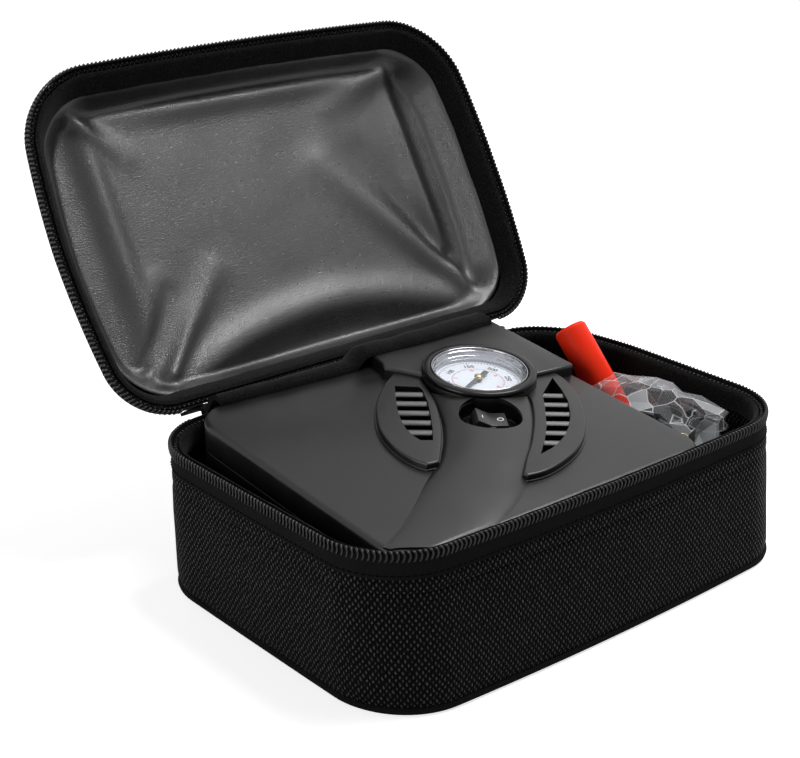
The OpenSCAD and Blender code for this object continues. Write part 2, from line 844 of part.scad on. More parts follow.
module gland_hole(r) {
    rod_y(unit_y1 - 10, unit_y1 + 10, r, gland_x, gland_z);
}

module outlet_nipple() {
    color([0.75, 0.6, 0.3])
        difference() {
            union() {
                rod_x(unit_x1 - 8, unit_x1 + 4, 4, outlet_y, port_z);
                rod_x(unit_x1 - 5, unit_x1 - shell_t - 0.1, 6, outlet_y, port_z);
                rod_x(unit_x1 + 0.1, unit_x1 + 2, 6, outlet_y, port_z);
                rod_x(unit_x1 + 4, unit_x1 + 8, 3.2, outlet_y, port_z);
            }
            rod_x(unit_x1 - 9, unit_x1 + 9, 1.5, outlet_y, port_z);
        }
}

module cord_gland() {
    color([0.1, 0.1, 0.1])
        difference() {
            union() {
                rod_y(unit_y1 - 7, unit_y1 + 4, 5, gland_x, gland_z);
                rod_y(unit_y1 - shell_t - 1.9, unit_y1 - shell_t - 0.1, 6.5, gland_x, gland_z);
                rod_y(unit_y1 + 0.1, unit_y1 + 2, 6.5, gland_x, gland_z);
            }
            rod_y(unit_y1 - 3, unit_y1 + 5, 2.5, gland_x, gland_z);
        }
}

module housing_screws() {
    color([0.6, 0.6, 0.62])
        for (p = screw_xy)
            translate([p[0], p[1], unit_z + 0.3]) {
                cylinder(h = 2, r = 3);
                cylinder(h = boss_z + screw_grip - unit_z, r = screw_r);
            }
}

module rubber_feet() {
    color([0.05, 0.05, 0.05])
        for (x = [unit_x0 + 26, unit_x1 - 26], y = [unit_y0 + 20, unit_y1 - 20])
            translate([x, y, board_z])
                cylinder(h = foot_h, r = foot_r);
}

// ---------- gauge ----------

module gauge_bezel() {
    r0 = chrome_r + 0.15;
    color([0.09, 0.09, 0.095])
        on_gauge()
            translate([0, 0, hood_h + seat])
                rotate_extrude($fn = 96)
                    polygon([[r0, 0], [bezel_r, 0], [bezel_r, 1.2], [bezel_r - 0.7, 2.2],
                             [bezel_r - 1.9, 2.8], [r0 + 0.9, 2.8], [r0, 2.3]]);
}

module gauge_chrome_ring() {
    r1 = chrome_r;
    color([0.8, 0.8, 0.82])
        on_gauge()
            rotate_extrude($fn = 96)
                polygon([[chrome_in, -1], [r1, -1], [r1, chrome_top - 0.5], [r1 - 0.5, chrome_top],
                         [r1 - 1.1, chrome_top], [r1 - 1.4, lens_z + lens_t + 0.05],
                         [r1 - 0.6, lens_z + lens_t + 0.05], [r1 - 0.6, lens_z - 0.05],
                         [r1 - 1.5, lens_z - 0.05], [r1 - 1.5, 4.6], [r1 - 2, 4.6],
                         [r1 - 2, 3.2], [dial_r, 3.2], [dial_r, dial_z + dial_t + 0.1],
                         [chrome_in, dial_z + dial_t + 0.1]]);
}

module gauge_lens() {
    color([0.9, 0.95, 1, 0.3])
        on_gauge()
            translate([0, 0, lens_z])
                cylinder(h = lens_t, r = chrome_r - 0.7, $fn = 96);
}

module gauge_dial() {
    color([0.93, 0.95, 0.98])
        on_gauge()
            translate([0, 0, dial_z])
                difference() {
                    cylinder(h = dial_t, r = gauge_case_r - 0.1, $fn = 96);
                    translate([0, 0, -1])
                        cylinder(h = 4, r = spindle_r + 0.3);
                }
}

module gauge_case() {
    color([0.35, 0.35, 0.36])
        on_gauge()
            difference() {
                translate([0, 0, -gauge_depth])
                    cylinder(h = gauge_depth + dial_z - seat, r = gauge_case_r, $fn = 96);
                translate([0, 0, -gauge_depth + 1.2])
                    cylinder(h = gauge_depth + 5, r = gauge_case_r - 1.2, $fn = 96);
                translate([0, 0, -gauge_depth - 1])
                    cylinder(h = 5, r = 5.1);
            }
}

module gauge_stem() {
    color([0.75, 0.6, 0.3])
        on_gauge()
            difference() {
                union() {
                    translate([0, 0, stem_tip])
                        cylinder(h = -8.6 - stem_tip, r = 5);
                    translate([0, 0, -gauge_depth - 3.1])
                        cylinder(h = 3, r = 7.5, $fn = 6);
                }
                translate([0, 0, stem_tip - 1])
                    cylinder(h = 12, r = tube_bore_r - 1);
            }
}

module gauge_movement() {
    color([0.7, 0.6, 0.35])
        on_gauge()
            difference() {
                translate([-7, -5, -8.5])
                    cube([14, 10, 7.5]);
                translate([0, 0, -7.5])
                    cylinder(h = 10, r = spindle_r + run_fit);
            }
}

module bourdon_tube() {
    color([0.75, 0.6, 0.3])
        on_gauge()
            translate([0, 0, -14]) {
                rotate_extrude(angle = 270, $fn = 72)
                    translate([13, 0])
                        square([1.8, 4]);
                translate([5.1, 0, 0.2])
                    cube([8.5, 2, 3.6]);
            }
}

module gauge_needle() {
    color([0.12, 0.15, 0.2])
        on_gauge() {
            translate([0, 0, -7])
                cylinder(h = 9.5, r = spindle_r);
            translate([0, 0, 2.4])
                cylinder(h = 2, r = 2.2);
            rotate([0, 0, needle_zero])
                translate([0, 0, 2.8])
                    linear_extrude(0.7)
                        polygon([[-9, -1.4], [-9, 1.4], [0, 1.1], [needle_l - 4, 0.7],
                                 [needle_l, 0], [needle_l - 4, -0.7], [0, -1.1]]);
        }
}

// ---------- switch ----------

module switch_frame() {
    well_l = rocker_l + 0.6;
    well_w = rocker_w + 0.6;
    color([0.07, 0.07, 0.075])
        on_switch()
            difference() {
                union() {
                    translate([-flange_l / 2, -flange_w / 2, -recess_floor + seat])
                        cube([flange_l, flange_w, flange_t]);
                    translate([-well_l / 2 - 0.5, -well_w / 2 - 0.5, -switch_depth])
                        cube([well_l + 1, well_w + 1, switch_depth - recess_floor + 1]);
                    for (s = [-1, 1])
                        translate([-2, s * (well_w / 2 + 0.7) - 0.7, -recess_floor + 1])
                            cube([4, 1.4, recess_floor + 0.8]);
                }
                translate([-well_l / 2, -well_w / 2, -12])
                    cube([well_l, well_w, 30]);
                translate([0, 0, pivot_z])
                    rotate([90, 0, 0])
                        cylinder(h = 40, r = 1 + run_fit, center = true);
            }
}

module rocker() {
    color([0.17, 0.17, 0.175])
        on_switch()
            translate([0, 0, pivot_z])
                rotate([0, rocker_tilt, 0]) {
                    intersection() {
                        rotate([90, 0, 0])
                            linear_extrude(rocker_w, center = true)
                                polygon([[-9, -5], [9, -5], [9, 4.6], [0, 2.6], [-9, 4.6]]);
                        rotate([90, 0, 0])
                            cylinder(h = 40, r = rocker_l / 2, center = true, $fn = 96);
                    }
                    rotate([90, 0, 0])
                        cylinder(h = rocker_w + 2.6, r = 1, center = true);
                }
}

module switch_terminals() {
    color([0.75, 0.6, 0.3])
        on_switch()
            for (x = [-6, 0, 6])
                translate([x - 0.4, -2.4, -switch_depth - 7])
                    cube([0.8, 4.8, 7]);
}

// ---------- motor, gears and pump ----------

module motor_can() {
    color([0.55, 0.55, 0.57])
        difference() {
            rod_x(motor_x0, plate_x - seat, motor_r, -motor_y, axis_z);
            rod_x(motor_x0 - 1, plate_x - 2, motor_r - 1.5, -motor_y, axis_z);
            rod_x(plate_x - 5, plate_x + 1, 4, -motor_y, axis_z);
        }
}

module motor_end_cap() {
    color([0.1, 0.1, 0.1])
        difference() {
            union() {
                rod_x(motor_x0 - cap_t, motor_x0 - seat, motor_r - 1, -motor_y, axis_z);
                rod_x(motor_x0 - seat, motor_x0 + 2, motor_r - 1.6, -motor_y, axis_z);
            }
            rod_x(motor_x0 - cap_t + 1, motor_x0 + 3, 4, -motor_y, axis_z);
        }
}

module motor_bearings() {
    color([0.7, 0.6, 0.35])
        for (x = [motor_x0 - cap_t + 1.1, plate_x - 2])
            difference() {
                rod_x(x, x + 1.9, 3.98, -motor_y, axis_z);
                rod_x(x - 1, x + 3, shaft_r + run_fit, -motor_y, axis_z);
            }
}

module motor_shaft() {
    color([0.7, 0.7, 0.72]) {
        rod_x(motor_x0 - cap_t + 1.2, gear_x + gear_w + 0.5, shaft_r, -motor_y, axis_z);
        rod_x(motor_x0 + 8, plate_x - 8, motor_r - 4.5, -motor_y, axis_z);
        rod_x(motor_x0 + 3, motor_x0 + 8, 5, -motor_y, axis_z);
    }
}

pressure_angle = 20;
function involute(r, rb) = r <= rb ? 0 : sqrt(r * r / (rb * rb) - 1) * 180 / PI - acos(rb / r);

// Half the angle that a tooth fills at radius r
function tooth_half(r, teeth) =
    let (rp = gear_m * teeth / 2, rb = rp * cos(pressure_angle))
    90 / teeth - gear_play / 4 / rp * 180 / PI + involute(rp, rb) - involute(r, rb);

function gear_points(teeth, addendum, dedendum) =
    let (rp = gear_m * teeth / 2, r0 = rp - dedendum, r1 = rp + addendum, n = 5)
    [for (i = [0:teeth - 1], j = [0:2 * n + 1])
        let (rising = j <= n,
             r = r0 + (r1 - r0) * (rising ? j : 2 * n + 1 - j) / n,
             a = 360 * i / teeth + (rising ? -1 : 1) * tooth_half(r, teeth))
            r * [cos(a), sin(a)]];

module drive_gear() {
    color([0.75, 0.72, 0.6])
        difference() {
            union() {
                along_x(gear_x, gear_w)
                    translate([gear_y, axis_z])
                        polygon(gear_points(gear_teeth, 0.8 * gear_m, 1.25 * gear_m));
                rod_x(pin_x, rod_x - 0.3, crank_pin_r, crank_y, axis_z);
            }
            rod_x(gear_x - 1, pin_x + 1, axle_r + run_fit, gear_y, axis_z);
        }
}

module pinion() {
    color([0.7, 0.6, 0.35])
        difference() {
            along_x(gear_x, gear_w)
                translate([-motor_y, axis_z])
                    rotate(180 / pinion_teeth)
                        polygon(gear_points(pinion_teeth, 0.9 * gear_m, 1.15 * gear_m));
            rod_x(gear_x - 1, pin_x + 1, shaft_r, -motor_y, axis_z);
        }
}

module gear_axle() {
    color([0.7, 0.7, 0.72]) {
        rod_x(plate_x + 0.5, pin_x + 0.3, axle_r, gear_y, axis_z);
        rod_x(pin_x + 0.3, pin_x + 1.6, axle_r + 1.6, gear_y, axis_z);
    }
}

module crankcase_bracket() {
    z0 = unit_z + shell_t + seat;
    z1 = axis_z + fin_r + 4;
    color([0.6, 0.6, 0.62])
        difference() {
            union() {
                translate([plate_x, -motor_y - motor_r - 2, z0])
                    cube([bracket_t, wall_y + 4 + motor_y + motor_r + 2, z1 - z0]);
                translate([plate_x, wall_y, z0])
                    cube([cyl_x + fin_r - plate_x, 4, z1 - z0]);
                translate([plate_x, wall_y, z0])
                    cube([cyl_x + fin_r - plate_x, 14, 2]);
            }
            rod_x(plate_x - 1, plate_x + bracket_t + 1, 6, -motor_y, axis_z);
            rod_x(plate_x - 1, plate_x + bracket_t + 1, axle_r, gear_y, axis_z);
            rod_y(wall_y - 1, wall_y + 5, barrel_r, cyl_x, axis_z);
        }
}

module cylinder_node() {
    color([0.72, 0.72, 0.74])
        difference() {
            union() {
                rod_y(wall_y, cyl_end, barrel_r, cyl_x, axis_z);
                for (y = [wall_y + 4 + seat:4:cyl_end - 6])
                    rod_y(y, y + 1.6, fin_r - 0.6, cyl_x, axis_z);
                rod_y(cyl_end - 4, cyl_end, fin_r, cyl_x, axis_z);
            }
            rod_y(wall_y - 1, cyl_end + 1, bore_r, cyl_x, axis_z);
            head_screw_holes(cyl_end - 3.6, cyl_end + 1, screw_r + 0.05);
        }
}

module head_screw_holes(y0, y1, r) {
    for (a = [45:90:315])
        rod_y(y0, y1, r, cyl_x + head_screw_r * cos(a), axis_z + head_screw_r * sin(a));
}

module cylinder_head() {
    color([0.72, 0.72, 0.74])
        difference() {
            union() {
                rod_y(head_y, head_y + head_l, fin_r, cyl_x, axis_z);
                rod_x(cyl_x, cyl_x + fin_r + 3, 4, outlet_y, port_z);
            }
            head_screw_holes(head_y - 1, head_y + head_l + 1, screw_r + 0.2);
            rod_x(cyl_x, cyl_x + fin_r + 4, 1.5, outlet_y, port_z);
        }
}

module head_screws() {
    color([0.5, 0.5, 0.52]) {
        head_screw_holes(cyl_end - 3.5, head_y + head_l + 1, screw_r);
        head_screw_holes(head_y + head_l + seat, head_y + head_l + 2.2, 2);
    }
}

module con_rod_eye(r, y) {
    rod_x(rod_x, rod_x + rod_t, r, y, axis_z);
}

module con_rod() {
    color([0.65, 0.65, 0.67])
        difference() {
            union() {
                con_rod_eye(crank_pin_r + 3, crank_y);
                con_rod_eye(gudgeon_r + 2.5, gudgeon_y);
                translate([rod_x, crank_y, axis_z - 2.5])
                    cube([rod_t, rod_l, 5]);
            }
            rod_x(rod_x - 1, rod_x + rod_t + 1, crank_pin_r + run_fit, crank_y, axis_z);
            rod_x(rod_x - 1, rod_x + rod_t + 1, gudgeon_r + run_fit, gudgeon_y, axis_z);
        }
}

module piston() {
    color([0.75, 0.75, 0.77])
        difference() {
            rod_y(gudgeon_y - 6, crown_y, bore_r - run_fit, cyl_x, axis_z);
            translate([cyl_x - rod_t / 2 - 0.4, gudgeon_y - 7, axis_z - 7])
                cube([rod_t + 0.8, 12.2, 14]);
            rod_x(cyl_x - bore_r, cyl_x + bore_r, gudgeon_r, gudgeon_y, axis_z);
            difference() {
                rod_y(crown_y - 2.4, crown_y - 1, bore_r + 1, cyl_x, axis_z);
                rod_y(crown_y - 3, crown_y, bore_r - 1.6, cyl_x, axis_z);
            }
        }
}

module piston_seal() {
    color([0.15, 0.15, 0.15])
        difference() {
            rod_y(crown_y - 2.35, crown_y - 1.05, bore_r - 0.02, cyl_x, axis_z);
            rod_y(crown_y - 3, crown_y, bore_r - 1.55, cyl_x, axis_z);
        }
}

module gudgeon_pin() {
    color([0.7, 0.7, 0.72])
        rod_x(cyl_x - bore_r + 1.5, cyl_x + bore_r - 1.5, gudgeon_r, gudgeon_y, axis_z);
}

module pressure_tube() {
    color([0.2, 0.2, 0.2]) {
        rod_x(cyl_x + fin_r + 3.2, unit_x1 - 8.2, tube_bore_r, outlet_y, port_z);
        rod_y(stem_y, outlet_y, tube_bore_r, gauge_x, port_z);
        for (y = [stem_y, outlet_y])
            translate([gauge_x, y, port_z])
                cube(2 * tube_bore_r + 1.4, center = true);
        translate([gauge_x, stem_y, port_z])
            cylinder(h = stem_z - port_z - 1, r = tube_bore_r);
    }
}

// Two wires from the motor, over the gears and down to the switch's terminals
module motor_wires() {
    r = 1;
    apart = 5;
    x0 = motor_x0 - 3.5;
    y0 = -motor_y + 8;
    z0 = axis_z + motor_r + 6;
    z1 = z0 - 5;
    y1 = switch_y - 12;
    color([0.6, 0.1, 0.1])
        for (side = [0, 1]) {
            x1 = switch_x + 2 + apart * (1 - side);
            y = y0 + apart * side;
            rod_x(x0, x1, r, y, z0);
            translate([x0, y, axis_z + motor_r - 3])
                cylinder(h = z0 - axis_z - motor_r + 3, r = r);
            rod_y(y, y1, r, x1, z0);
            translate([x1, y1, z1])
                cylinder(h = z0 - z1, r = r);
            rod_y(y1, switch_y - 1 - 2 * (1 - side), r, x1, z1);
        }
}

// ---------- accessories in the side bay ----------

module on_tube() {
    translate(tube_top)
        rotate([-tube_lean, tube_side, 0])
            children();
}

module red_tube() {
    color([0.9, 0.08, 0.04])
        on_tube()
            rotate_extrude()
                polygon(concat([[0, -tube_l], [tube_r - 1, -tube_l], [tube_r, 1 - tube_l]],
                    arc(tube_r - 2.5, -2.5, 2.5, 0, 90, 6), [[0, 0]]));
}

// The filled bag's shape, set in by inset
module bag_form(inset) {
    hull()
        for (c = bag_corners)
            translate([c[0][0], c[0][1], bag_z + inset])
                cylinder(h = bag_top - bag_z - 2 * inset, r1 = c[1] - inset, r2 = c[1] - 3 - inset,
                    $fn = 32);
}

module polybag() {
    color([0.85, 0.88, 0.9, 0.35])
        difference() {
            union() {
                difference() {
                    bag_form(0);
                    bag_form(film_t);
                }
                intersection() {
                    bag_form(0);
                    on_tube()
                        translate([0, 0, -tube_l - 0.3 - film_t])
                            cylinder(h = tube_l, r = tube_r + 0.3 + film_t);
                }
            }
            on_tube()
                translate([0, 0, -tube_l - 0.3])
                    cylinder(h = 2 * tube_l, r = tube_r + 0.3);
        }
}

module funnel(r, h) {
    rotate_extrude()
        polygon([[2.2, 0], [4, 0], [5, h * 0.35], [r - 2, h * 0.8], [r, h * 0.82], [r, h],
                 [r - 1.6, h], [r - 1.6, h * 0.86], [3.4, h * 0.38], [2.2, h * 0.3]]);
}

module adaptor_cones() {
    color([0.08, 0.08, 0.085])
        for (i = [0, 1])
            translate([cone_at[i][0], cone_at[i][1], bag_z + film_t + 0.1])
                funnel(cone_r - 2.5 * i, cone_h);
}

module brass_adaptor() {
    h = cone_h - 4;
    color([0.8, 0.62, 0.28])
        translate([brass_at[0], brass_at[1], bag_z + film_t + 0.1])
            difference() {
                union() {
                    cylinder(h = h, r = 3);
                    translate([0, 0, h - 12])
                        cylinder(h = 12, r = 4);
                }
                translate([0, 0, h - 9])
                    cylinder(h = 10, r = 2.2);
            }
}

module ball_needle() {
    r = 3.2;
    color([0.75, 0.75, 0.77])
        translate([needle_at[0], needle_at[1], bag_z + film_t + 0.1 + r])
            rotate([90, 0, 0]) {
                cylinder(h = 9, r = r);
                cylinder(h = 38, r = 0.9);
            }
}

base_shell();
base_floor_board();
base_inner_band();
base_bottom_piping();
base_zip_tape();
base_zip_teeth();
hinge_band();
zip_slider();
zip_stops();
upper_cover();
lower_housing();
left_vent_grille();
right_vent_grille();
gauge_bezel();
gauge_chrome_ring();
gauge_lens();
gauge_dial();
gauge_case();
gauge_stem();
bourdon_tube();
gauge_movement();
pressure_tube();
switch_frame();
switch_terminals();
motor_can();
motor_end_cap();
motor_bearings();
crankcase_bracket();
gear_axle();
cylinder_node();  // cylinder
cylinder_head();
head_screws();
outlet_nipple();
cord_gland();
housing_screws();
rubber_feet();
motor_wires();
red_tube();
polybag();
ball_needle();
adaptor_cones();
brass_adaptor();
lid_shell();
lid_board();
lid_lining();
lid_inner_band();
lid_hinge_band();
lid_zip_tape();
lid_zip_teeth();
pull_tab();
rocker();
gauge_needle();
drive_gear();
motor_shaft();
pinion();
con_rod();
piston();
piston_seal();
gudgeon_pin();
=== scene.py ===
# %% [markdown]
# # An electric tyre inflator in its open zip case
#
# The real object is a small compressor that lies in a soft fabric case, with its lid thrown open and a
# bag of adaptors beside it. The mechanical model is loaded first and never moved. Everything soft or
# finely shaped is then modelled round it in the same frame, in metres.

# %% Load the mechanical model
import json
import math

import bmesh
import bpy
from mathutils import Matrix, Vector, noise

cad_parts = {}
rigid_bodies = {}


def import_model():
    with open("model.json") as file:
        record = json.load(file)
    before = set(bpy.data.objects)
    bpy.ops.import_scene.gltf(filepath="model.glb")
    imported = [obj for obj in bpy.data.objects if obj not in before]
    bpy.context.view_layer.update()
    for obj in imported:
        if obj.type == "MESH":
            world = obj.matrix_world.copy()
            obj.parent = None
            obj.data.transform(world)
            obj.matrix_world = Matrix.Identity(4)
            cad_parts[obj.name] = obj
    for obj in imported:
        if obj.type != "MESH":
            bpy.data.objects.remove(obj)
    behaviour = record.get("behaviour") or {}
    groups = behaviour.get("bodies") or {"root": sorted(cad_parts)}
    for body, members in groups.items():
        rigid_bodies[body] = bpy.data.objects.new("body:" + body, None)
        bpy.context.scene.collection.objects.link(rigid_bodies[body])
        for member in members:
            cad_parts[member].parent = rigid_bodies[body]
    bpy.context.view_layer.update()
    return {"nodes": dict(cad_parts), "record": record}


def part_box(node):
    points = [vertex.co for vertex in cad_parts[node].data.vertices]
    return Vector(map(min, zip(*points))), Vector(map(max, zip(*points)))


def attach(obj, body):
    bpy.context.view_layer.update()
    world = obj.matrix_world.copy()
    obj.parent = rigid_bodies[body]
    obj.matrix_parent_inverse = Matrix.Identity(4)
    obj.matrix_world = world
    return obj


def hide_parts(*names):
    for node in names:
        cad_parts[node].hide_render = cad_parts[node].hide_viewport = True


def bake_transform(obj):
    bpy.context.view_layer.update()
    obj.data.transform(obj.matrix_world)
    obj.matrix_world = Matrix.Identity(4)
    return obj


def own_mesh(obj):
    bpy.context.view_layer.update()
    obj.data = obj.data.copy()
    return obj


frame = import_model()
scene = bpy.context.scene
for leftover in [o for o in scene.objects if o.name in ("Cube", "Light", "Camera")]:
    bpy.data.objects.remove(leftover)
mm = 0.001

# %% [markdown]
# ## Camera and lights
#
# The camera stands in front of the case, to its left, and looks down at it through a long lens, which
# keeps the case's real proportions. Four soft boxes light it: one from each side, one from high up and
# a weak one from behind. The right one is left out of reflections, where it would show as glare.

# %% Camera
camera_at = Vector((-529.4, -574.6, 407.8)) * mm
look_at = Vector((-6.64, 49.48, 84.88)) * mm
focal_in_pixels = 1712.46
image_width = 800
lens_data = bpy.data.cameras.new("long_lens")
lens_data.sensor_width = 36
lens_data.lens = focal_in_pixels * lens_data.sensor_width / image_width
camera = bpy.data.objects.new("case_view", lens_data)
scene.collection.objects.link(camera)
camera.location = camera_at
camera.rotation_euler = (look_at - camera_at).to_track_quat("-Z", "Y").to_euler()
scene.camera = camera
scene.view_settings.view_transform = "Standard"


# %% Soft boxes
soft_box_size = 0.8
soft_box_aim = Vector((0, 0, 0.08))


def soft_box(name, place, power, mirrored=True):
    """A square studio light that looks at the case, and shows in reflections or not."""
    data = bpy.data.lights.new(name, "AREA")
    data.size = soft_box_size
    data.energy = power
    lamp = bpy.data.objects.new(name, data)
    scene.collection.objects.link(lamp)
    lamp.location = place
    lamp.visible_glossy = mirrored
    lamp.rotation_euler = (soft_box_aim - Vector(place)).to_track_quat("-Z", "Y").to_euler()


soft_box("light_left", (-1.5, -0.05, 0.63), 8)
soft_box("light_right", (1.45, 0.15, 0.6), 11, mirrored=False)
soft_box("light_high", (0.65, -0.1, 1.5), 22)
soft_box("light_back", (0.2, 1.5, 0.9), 2.5)

# %% [markdown]
# ## Surroundings and floor
#
# Black goods stay black on white only if the white adds little light of its own. A Light Path node
# tells which kind of ray asks: the camera, reflections and clear things find a white room, and surfaces
# that gather light find a dim one. In reflections the front half of the room is darker towards the
# horizon and so is the floor, which gives folds and ridges their dark sides.


# %% White surroundings
def arithmetic(tree, operation, *values):
    """A Math node's result, from plain numbers and other nodes' results."""
    step = tree.nodes.new("ShaderNodeMath")
    step.operation = operation
    for socket, value in zip(step.inputs, values):
        if isinstance(value, float):
            socket.default_value = value
        else:
            tree.links.new(value, socket)
    return step.outputs[0]


def seen_directly(tree, mirrored=1.0):
    """1 for the camera and through glass, a chosen share for reflections, 0 for light on surfaces."""
    path = tree.nodes.new("ShaderNodeLightPath").outputs
    seen = arithmetic(tree, "MAXIMUM", path["Is Camera Ray"], path["Is Transmission Ray"])
    reflected = arithmetic(tree, "MULTIPLY", path["Is Glossy Ray"], mirrored)
    return arithmetic(tree, "MAXIMUM", seen, reflected)


ambient_level = 0.12
world = bpy.data.worlds.new("studio")
world.use_nodes = True
scene.world = world
tree = world.node_tree
dim = tree.nodes["Background"]
dim.inputs["Color"].default_value = (1, 1, 1, 1)
dim.inputs["Strength"].default_value = ambient_level
white = tree.nodes.new("ShaderNodeBackground")
white.inputs["Color"].default_value = (1, 1, 1, 1)
choice = tree.nodes.new("ShaderNodeMixShader")
tree.links.new(seen_directly(tree), choice.inputs[0])
tree.links.new(dim.outputs[0], choice.inputs[1])
tree.links.new(white.outputs[0], choice.inputs[2])
tree.links.new(choice.outputs[0], tree.nodes["World Output"].inputs["Surface"])

# %% Darker front half in reflections
horizon_level = 0.3
front_slope = 2.0
direction = tree.nodes.new("ShaderNodeSeparateXYZ")
tree.links.new(tree.nodes.new("ShaderNodeTexCoord").outputs["Generated"], direction.inputs[0])
by_height = arithmetic(tree, "ADD", direction.outputs["Z"], horizon_level)
by_depth = arithmetic(tree, "MULTIPLY_ADD", direction.outputs["Y"], front_slope, 1.0)
room = arithmetic(tree, "MINIMUM", arithmetic(tree, "MAXIMUM", by_height, by_depth), 1.0)
glossy = tree.nodes.new("ShaderNodeLightPath").outputs["Is Glossy Ray"]
not_glossy = arithmetic(tree, "SUBTRACT", 1.0, glossy)
tree.links.new(arithmetic(tree, "MAXIMUM", room, not_glossy), white.inputs["Strength"])

# %% Floor
floor_size = 6
floor_paint = 0.7
floor_glow = 0.74
floor_in_reflections = 0.4


def as_object(name, bm):
    """An object of the scene with the bmesh's shape, which uses the bmesh up."""
    mesh = bpy.data.meshes.new(name)
    bm.to_mesh(mesh)
    bm.free()
    made = bpy.data.objects.new(name, mesh)
    scene.collection.objects.link(made)
    return made


floor_mesh = bmesh.new()
bmesh.ops.create_grid(floor_mesh, x_segments=1, y_segments=1, size=floor_size)
floor = as_object("floor", floor_mesh)
floor_finish = bpy.data.materials.new("floor_white")
floor_finish.use_nodes = True
tree = floor_finish.node_tree
paint = tree.nodes["Principled BSDF"]
paint.inputs["Base Color"].default_value = (floor_paint, floor_paint, floor_paint, 1)
paint.inputs["Roughness"].default_value = 1
paint.inputs["Specular IOR Level"].default_value = 0
glow = tree.nodes.new("ShaderNodeEmission")
both = tree.nodes.new("ShaderNodeAddShader")
seen = seen_directly(tree, mirrored=floor_in_reflections)
tree.links.new(arithmetic(tree, "MULTIPLY", seen, floor_glow), glow.inputs["Strength"])
tree.links.new(paint.outputs[0], both.inputs[0])
tree.links.new(glow.outputs[0], both.inputs[1])
tree.links.new(both.outputs[0], tree.nodes["Material Output"].inputs["Surface"])
floor.data.materials.append(floor_finish)

# %% [markdown]
# ## Finishes
#
# Each finish is one Principled shader. A small class adds the nodes that vary it, so that a finish
# reads as a short recipe: what its texture is, how large it is in metres, and what it drives.


# %% A finish and its nodes
class Finish:
    """A Principled material, with short ways to add the nodes that vary it."""

    def __init__(self, name, color, roughness, **settings):
        self.material = bpy.data.materials.new(name)
        self.material.use_nodes = True
        self.tree = self.material.node_tree
        self.shader = self.tree.nodes["Principled BSDF"]
        self.shader.inputs["Base Color"].default_value = (*color, 1)
        self.shader.inputs["Roughness"].default_value = roughness
        for key, value in settings.items():
            self.shader.inputs[key.replace("_", " ").title().replace("Ior", "IOR")].default_value = value
        self.places = self.tree.nodes.new("ShaderNodeTexCoord")

    def node(self, kind, inputs, **settings):
        """Adds a node; an input is a number, a vector or another node's output."""
        made = self.tree.nodes.new(kind)
        for key, value in settings.items():
            setattr(made, key, value)
        for key, value in inputs.items():
            if isinstance(value, bpy.types.NodeSocket):
                self.tree.links.new(value, made.inputs[key])
            else:
                made.inputs[key].default_value = value
        return made

    def math(self, operation, *values):
        """The result of a Math node."""
        return arithmetic(self.tree, operation, *values)

    def noise(self, scale, detail=2.0, where="Object", stretch=(1, 1, 1)):
        """Noise with about scale features to the metre."""
        spot = self.places.outputs[where]
        if stretch != (1, 1, 1):
            spot = self.node("ShaderNodeMapping", {"Vector": spot, "Scale": stretch}).outputs[0]
        return self.node("ShaderNodeTexNoise", {"Vector": spot, "Scale": scale, "Detail": detail}).outputs[0]

    def ramp(self, factor, *stops):
        """A colour ramp through (position, grey or colour) stops."""
        made = self.node("ShaderNodeValToRGB", {0: factor})
        elements = made.color_ramp.elements
        while len(elements) < len(stops):
            elements.new(0.5)
        for element, (position, color) in zip(elements, stops):
            element.position = position
            element.color = (*color, 1) if hasattr(color, "__len__") else (color, color, color, 1)
        return made.outputs[0]

    def drive(self, socket, output):
        """Lets a node's output decide one of the shader's sockets."""
        self.tree.links.new(output, self.shader.inputs[socket])
        return self

    def bump(self, *layers):
        """Stacks (height, depth in metres, strength) layers of relief."""
        normal = None
        for height, depth, strength in layers:
            inputs = {"Height": height, "Distance": depth, "Strength": strength}
            if normal is not None:
                inputs["Normal"] = normal
            normal = self.node("ShaderNodeBump", inputs).outputs[0]
        return self.drive("Normal", normal)


finishes = {}


def finish(slot, color, roughness, **settings):
    """A new finish for one of the record's material slots."""
    finishes[slot] = Finish(slot, color, roughness, **settings)
    return finishes[slot]


# %% [markdown]
# ### Cloth
#
# The case is coarse black nylon: thick yarns pass over and under each other. The light their tops catch is
# painted into the colour as a highlight, and the gaps between them are painted dark as shade. A plain weave
# is two families of half-round ridges whose heights swap from cell to cell. The pattern runs on the UV map,
# which holds real lengths, so it bends round the corners with the cloth.


# %% Woven cloth
def weave(made, pitch_along, pitch_up):
    """Heights of the upright and the level yarns of a plain weave on the UV map, from 0 to 1."""
    spot = made.node("ShaderNodeSeparateXYZ", {0: made.places.outputs["UV"]})
    wander = made.math("MULTIPLY", made.math("SUBTRACT", made.noise(220, 2, "UV"), 0.5), 1.1)
    a = made.math("ADD", made.math("DIVIDE", spot.outputs[0], pitch_along), wander)
    b = made.math("ADD", made.math("DIVIDE", spot.outputs[1], pitch_up), wander)
    heights = []
    for across, along, shift in ((a, b, 0.0), (b, a, math.pi)):
        ridge = made.math("ABSOLUTE", made.math("SINE", made.math("MULTIPLY", across, math.pi)))
        phase = made.math("MULTIPLY_ADD", made.math("FLOOR", across), math.pi, shift)
        wave = made.math("SINE", made.math("MULTIPLY_ADD", along, math.pi, phase))
        over = made.math("MULTIPLY_ADD", wave, 0.5, 0.5)
        heights.append(made.math("MULTIPLY", ridge, over))
    return heights


